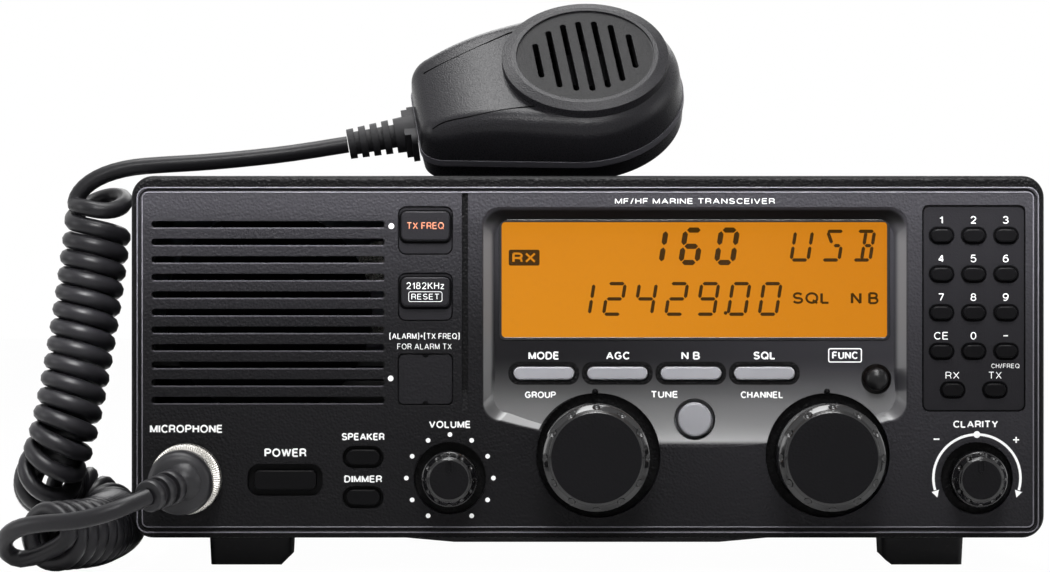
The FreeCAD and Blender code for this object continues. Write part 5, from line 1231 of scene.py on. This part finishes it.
class RADIO_OT_dome_key(bpy.types.Operator):
    """Turns the polished dome of the function key, and the two index pips over the large knobs"""

    bl_idname = "radio.dome_key"
    bl_label = "Function key"

    def execute(self, context):
        x, z, radius = FUNCTION_KEY
        profile = [(11.0, 2.0), (4.0, 2.0), (4.0, radius), (0.4, radius)]
        for step in range(1, 9):
            angle = math.radians(90 * step / 8.3)
            profile.append((0.4 - 2.2 * math.sin(angle), radius * math.cos(angle)))
        key = smooth(turned(on_panel(x, z), profile, 48), 50)
        own(key, "function_key_dome", "function_button", "dome")
        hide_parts("function_key")
        pips = [self.pip(KNOBS[name][0]) for name in ("group", "channel")]
        own(join(pips), "index_pips", "radio", "key")
        return {"FINISHED"}

    def pip(self, x):
        """A bead that stands on the scoop's floor."""
        floor = scoop_depth(x, PIP_Z)
        rings = [(3.0, 1.0), (floor - 0.3, 1.0), (floor - 0.8, 0.75), (floor - 1.0, 0.3)]
        return turned(on_panel(x, PIP_Z), rings, 24)


MIC_CREASES = [
    [
        (-49.5, 140.9), (-47.6, 142.4), (-44.0, 143.7), (-37.6, 144.8), (-29.6, 146.6), (-23.2, 147.6),
        (-17.0, 148.2),
    ],
    [
        (-52.4, 158.6), (-48.2, 160.9), (-40.2, 164.7), (-31.7, 168.6), (-27.5, 170.5), (-24.3, 171.8),
    ],
]


class RADIO_OT_creases(bpy.types.Operator):
    """Draws the creases beside the face of the microphone as thin black lines of painted shade"""

    bl_idname = "radio.creases"
    bl_label = "Microphone creases"

    def execute(self, context):
        shell = bpy.data.objects["mic_front_shell"]
        creases = []
        for spots in MIC_CREASES:
            places = []
            for x, z in spots:
                hit, place, normal, _ = shell.ray_cast(eye(), (on_panel(x, z) - eye()).normalized())
                if hit:
                    places.append(place + normal * 0.05 * MM)
            creases.append(thicken(spline("crease", places, 6), 0.22, 2))
        own(join(creases), "mic_creases", "microphone", "dark")
        return {"FINISHED"}


PLUG_RING = [(-1.7, 10.6), (-2.0, 11.1), (-2.3, 11.3), (-7.2, 11.3), (-7.6, 11.0), (-7.7, 10.4)]
PLUG_MOULDING = [
    (-7.0, 9.8), (-8.4, 10.3), (-14.0, 10.3), (-16.4, 10.1), (-17.6, 9.6), (-18.4, 8.8),
    (-18.8, 7.6), (-19.0, 5.6), (-19.1, 2.0),
]


class RADIO_OT_plug(bpy.types.Operator):
    """Turns the microphone's plug: its knurled ring, its moulding and the ribbed boot"""

    bl_idname = "radio.plug"
    bl_label = "Plug"

    def execute(self, context):
        x, z = PLUG
        ring = smooth(turned(on_panel(x, z), PLUG_RING), 50)
        own(ring, "plug_ring", "radio", "ring")
        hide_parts("mic_plug")
        dome = turned(on_panel(x - 1.1, z - 0.8), PLUG_MOULDING, 72)
        boot = self.boot(on_panel(x, z - 0.4, -16.4), at(*TAIL_ROUTE[-1]))
        moulding = smooth(join([dome, boot]), 40)
        own(moulding, "plug_moulding", "radio", "boot")
        return {"FINISHED"}

    def boot(self, start, end):
        """A sleeve of ribs and grooves, from the moulding to where the cord comes out."""
        profile = [(0.0, 6.6), (-2.6, 6.0)]
        first, ribs = 4.2, 3
        pitch = ((end - start).length / MM - first) / ribs
        for i in range(ribs):
            low, radius = first + i * pitch, 5.6 - 0.25 * i
            profile += [
                (-low, 3.9), (-low - pitch * 0.3, 3.9), (-low - pitch * 0.36, radius - 0.3),
                (-low - pitch * 0.46, radius), (-low - pitch * 0.88, radius), (-low - pitch, radius - 0.4),
            ]
        sleeve = turned((0, 0, 0), profile, 48)
        sleeve.rotation_euler = (end - start).to_track_quat("-Y", "Z").to_euler()
        sleeve.location = start
        return settle(sleeve)


class RADIO_OT_bezel(bpy.types.Operator):
    """Adds the window's rim, the moulded lines along the panel's frame in a light grey that paints their
    highlight, and flat black rings of painted shade in the gaps round keys
    """

    bl_idname = "radio.bezel"
    bl_label = "Rim, lines and gaps"

    def execute(self, context):
        middle, size = box_of("display_window")
        depth = scoop_depth(middle.x, middle.z)
        rim = frame_mark(middle.x, middle.z, size.x + 1.8, size.z + 1.8, 0.9, depth, 2.0, 0.35)
        own(round_edges(rim, 0.14), "window_rim", "radio", "gloss")
        lines = []
        for x, z, width, height, corner in (FRAME, INNER_FRAME):
            lines.append(round_edges(frame_mark(x, z, width, height, 0.4, 0.0, corner, 0.18), 0.09))
        own(join(lines), "frame_highlight_lines", "radio", "edge")
        self.gaps()
        return {"FINISHED"}

    def gaps(self):
        """Painted shade: flat black rings in the gaps round the keypad's plate and its keys, and round the
        two square keys.
        """
        middle, size = box_of("keypad_panel")
        gaps = [frame_mark(middle.x, middle.z, size.x + 0.5, size.z + 0.5, 0.5, 0.0, 2.4, GAP_RISE)]
        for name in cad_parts:
            if name.startswith("pad_"):
                middle, _ = box_of(name)
                gaps.append(self.key_gap(middle.x, middle.z))
        own(join(gaps), "key_gap_shade", "radio", "dark")
        for node, z in (("send_frequency", SEND_KEY_Z), ("distress_frequency", DISTRESS_KEY_Z)):
            width, height = SQUARE_KEY
            gap = frame_mark(
                SQUARE_KEY_X, z, width + 1.4, height + 1.4, 0.7, SKIRT_DEPTH, 2.3, GAP_RISE
            )
            own(gap, f"{node}_gap", f"{node}_button", "dark")

    def key_gap(self, x, z):
        """A flat black ring of painted shade in the gap round a key that stands in its hole in the keypad's
        plate.
        """
        width, height = PAD_KEY[0] + 2 * KEY_GAP, PAD_KEY[1] + 2 * KEY_GAP
        return frame_mark(x, z, width, height, KEY_GAP, PLATE_DEPTH, height / 2 - 0.1, GAP_RISE)


class RADIO_OT_lettering(bpy.types.Operator):
    """Prints the generic words, numbers and scale marks on the panel"""

    bl_idname = "radio.lettering"
    bl_label = "Lettering"

    def execute(self, context):
        pieces = [words(*legend) for legend in LEGENDS]
        pieces += [words(*legend, surface=scoop_depth) for legend in SCOOP_LEGENDS]
        for text, column, row, width in KEYPAD_LEGENDS:
            x, z = FIRST_PAD_KEY[0] + column * PAD_PITCH[0], FIRST_PAD_KEY[1] - row * PAD_PITCH[1]
            height = DASH_HEIGHT if text == "-" else DIGIT_HEIGHT
            pieces.append(words(text, x, z, width, height, on_plate, THIN))
        pieces += [words(*legend, on_plate, FINE) for legend in PLATE_LEGENDS]
        pieces += [frame_mark(*FUNCTION_FRAME)] + [flat_dot(*dot) for dot in KEY_DOTS]
        pieces += self.volume_scale() + self.clarity_scale()
        own(join(pieces), "panel_lettering", "radio", "white")
        own(words(*SEND_LEGEND), "send_key_lettering", "send_frequency_button", "orange")
        distress = [words(*legend) for legend in DISTRESS_LEGENDS] + [frame_mark(*RESET_FRAME)]
        own(join(distress), "distress_key_lettering", "distress_frequency_button", "white")
        return {"FINISHED"}

    def volume_scale(self):
        """Eleven dots round the volume knob."""
        x, z, _ = KNOBS["volume"]
        angles = [math.radians(-150 + 30 * step) for step in range(11)]
        return [flat_dot(*around(x, z, angle, SCALE_RADIUS), 0.75) for angle in angles]

    def clarity_scale(self):
        """An arc with arrowheads, and a dot at its top."""
        x, z, _ = KNOBS["clarity"]
        reach, steps = math.radians(106), 40
        angles = [-reach + 2 * reach * i / steps for i in range(steps + 1)]
        spots = [around(x, z, angle, SCALE_RADIUS + 0.4) for angle in angles]
        spots += [around(x, z, angle, SCALE_RADIUS - 0.4) for angle in reversed(angles)]
        marks = [outline_mark("clarity_arc", spots)]
        for side in (-1, 1):
            angle = side * (reach + 0.02)
            foot = Vector(around(x, z, angle, SCALE_RADIUS))
            ahead = Vector((math.cos(angle), -math.sin(angle))) * side * 2.2
            aside = Vector((math.sin(angle), math.cos(angle))) * 1.2
            marks.append(outline_mark("clarity_arrow", [foot + ahead, foot + aside, foot - aside]))
        marks.append(flat_dot(x, z + SCALE_RADIUS, 1.1))
        return marks


class RADIO_OT_display(bpy.types.Operator):
    """Draws what the display shows: generic figures and words"""

    bl_idname = "radio.display"
    bl_label = "Display"

    def execute(self, context):
        depth = (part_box("display_module")[0][1] - FRONT) / MM - LAYER
        pieces = []
        for text, left, low, pitch, width, height, thickness in DISPLAY_ROWS:
            for i, character in enumerate(text):
                x, z = behind(left + i * pitch, low, depth)
                pieces += figure(character, x, z, width, height, thickness, depth)
        pieces.append(flat_dot(*behind(*DISPLAY_POINT, depth), 0.6, depth))
        for text, x, z, width, height in DISPLAY_WORDS:
            x, z = behind(x, z, depth)
            pieces.append(words(text, x, z, width, height, lambda x, z: depth, DISPLAY_WEIGHT))
        x, z = behind(*DISPLAY_TAB, depth)
        pieces.append(self.tab(x, z, depth))
        own(join(pieces), "display_figures", "radio", "segment")
        sign = words("RX", x, z, 7.6, 3.4, lambda x, z: depth - LAYER, SIGN_WEIGHT)
        own(sign, "display_sign", "radio", "amber")
        return {"FINISHED"}

    def tab(self, x, z, depth):
        """A filled tab with rounded corners."""
        round_x, round_z = TAB_WIDTH / 2 - TAB_CORNER, TAB_HEIGHT / 2 - TAB_CORNER
        spots = []
        for quarter, (side_x, side_z) in enumerate(((1, 1), (-1, 1), (-1, -1), (1, -1))):
            centre_x, centre_z = x + side_x * round_x, z + side_z * round_z
            start = 90 * quarter
            spots += arc(centre_x, centre_z, TAB_CORNER, TAB_CORNER, start, start + 90)
        return outline_mark("display_tab", spots, depth)


# Lamps: place, target, width and height in metres, watts, and the spread of the light in degrees

LAMPS = {
    "top_light": ((-0.1, -0.18, 1.15), (0, -0.1, 0.1), (0.9, 0.4), 14, 180),
    "front_light": ((-0.4, -1.25, 1.15), (0, -0.14, 0.08), (1.5, 0.7), 0.5, 180),
    "cove_light": ((0.0, -1.25, 0.95), (0, -0.14, 0.05), (0.7, 0.3), 0.58, 30),
    "panel_light": ((0.0, -0.195, 0.17), (0, -0.1455, 0.108), (0.5, 0.03), 0.16, 36),
    "back_light": ((0.2, 1.3, 1.2), (0, 0, 0.08), (1.4, 0.8), 12, 180),
    "left_light": ((-1.4, -0.3, 0.35), (-0.1, -0.1, 0.08), (0.4, 0.7), 3, 180),
    "right_light": ((1.4, -0.3, 0.35), (0.1, -0.1, 0.08), (0.4, 0.7), 3, 180),
}
FLOOR_SIZE, FLOOR_GLOW = 12, 0.985
DIFFUSE_SKY = 0.045
SENSOR_WIDTH = 36


class RADIO_OT_stage(bpy.types.Operator):
    """Sets the pale floor, the studio light and the camera"""

    bl_idname = "radio.stage"
    bl_label = "Stage"

    def execute(self, context):
        context.scene.view_settings.view_transform = "Standard"
        self.floor()
        self.world(context)
        for name, settings in LAMPS.items():
            self.lamp(name, *settings)
        self.camera(context)
        return {"FINISHED"}

    def floor(self):
        """A floor that the camera sees as plain pale light, and that still takes light from the lamps."""
        bpy.ops.mesh.primitive_plane_add(size=FLOOR_SIZE)
        floor = settle(bpy.context.object)
        floor.name = "floor"
        graph = Graph("pale_floor", base_color=FLOOR_COLOUR, roughness=0.7, specular_ior_level=0.2)
        seen = graph.node("ShaderNodeLightPath", output="Is Camera Ray") * FLOOR_GLOW
        glow = graph.node("ShaderNodeEmission")
        lit = Value(graph, graph.shader.outputs[0])
        surface = graph.node("ShaderNodeMixShader", inputs={0: seen, 1: lit, 2: glow})
        graph.fill(graph.tree.nodes["Material Output"].inputs["Surface"], surface)
        floor.data.materials.append(graph.material)

    def world(self, context):
        """A white sky, full for what is seen and mirrored, and faint as light on surfaces."""
        world = bpy.data.worlds.new("studio")
        context.scene.world = world
        world.use_nodes = True
        nodes, links = world.node_tree.nodes, world.node_tree.links
        rays = nodes.new("ShaderNodeLightPath")
        shown = rays.outputs["Is Camera Ray"]
        for kind in ("Is Glossy Ray", "Is Transmission Ray"):
            either = nodes.new("ShaderNodeMath")
            either.operation = "MAXIMUM"
            links.new(shown, either.inputs[0])
            links.new(rays.outputs[kind], either.inputs[1])
            shown = either.outputs[0]
        scale = nodes.new("ShaderNodeMapRange")
        scale.inputs["To Min"].default_value = DIFFUSE_SKY
        links.new(shown, scale.inputs["Value"])
        links.new(scale.outputs[0], nodes["Background"].inputs["Strength"])
        nodes["Background"].inputs["Color"].default_value = WHITE

    def lamp(self, name, place, target, size, power, spread):
        data = bpy.data.lights.new(name, "AREA")
        data.shape = "RECTANGLE"
        data.size, data.size_y = size
        data.energy = power
        data.spread = math.radians(spread)
        lamp = new_object(name, data)
        lamp.location = place
        lamp.rotation_euler = (Vector(target) - Vector(place)).to_track_quat("-Z", "Y").to_euler()
        lamp.visible_camera = False

    def camera(self, context):
        data = bpy.data.cameras.new("camera")
        data.sensor_width = SENSOR_WIDTH
        data.lens = props().lens
        camera = new_object("camera", data)
        camera.location = eye()
        camera.rotation_euler = (math.pi / 2, 0, 0)
        context.scene.camera = camera


class RADIO_PT_panel(bpy.types.Panel):
    """Lists the radio's steps"""

    bl_idname = "RADIO_PT_panel"
    bl_label = "Marine radio"
    bl_space_type = "VIEW_3D"
    bl_region_type = "UI"
    bl_category = "Radio"

    def draw(self, context):
        for step in STEPS:
            self.layout.operator(f"radio.{step}")


STEPS = [
    "finishes", "creases", "plug", "cord", "knobs", "dome_key", "bezel", "lettering", "display", "stage",
]
CLASSES = [
    RadioProperties, RADIO_OT_finishes, RADIO_OT_creases, RADIO_OT_plug, RADIO_OT_cord, RADIO_OT_knobs,
    RADIO_OT_dome_key, RADIO_OT_bezel, RADIO_OT_lettering, RADIO_OT_display, RADIO_OT_stage,
    RADIO_PT_panel,
]


def register():
    for item in CLASSES:
        bpy.utils.register_class(item)
    bpy.types.Scene.radio = bpy.props.PointerProperty(type=RadioProperties)


def unregister():
    del bpy.types.Scene.radio
    for item in reversed(CLASSES):
        bpy.utils.unregister_class(item)


def main():
    register()
    for step in STEPS:
        getattr(bpy.ops.radio, step)()


if __name__ == "__main__":
    main()
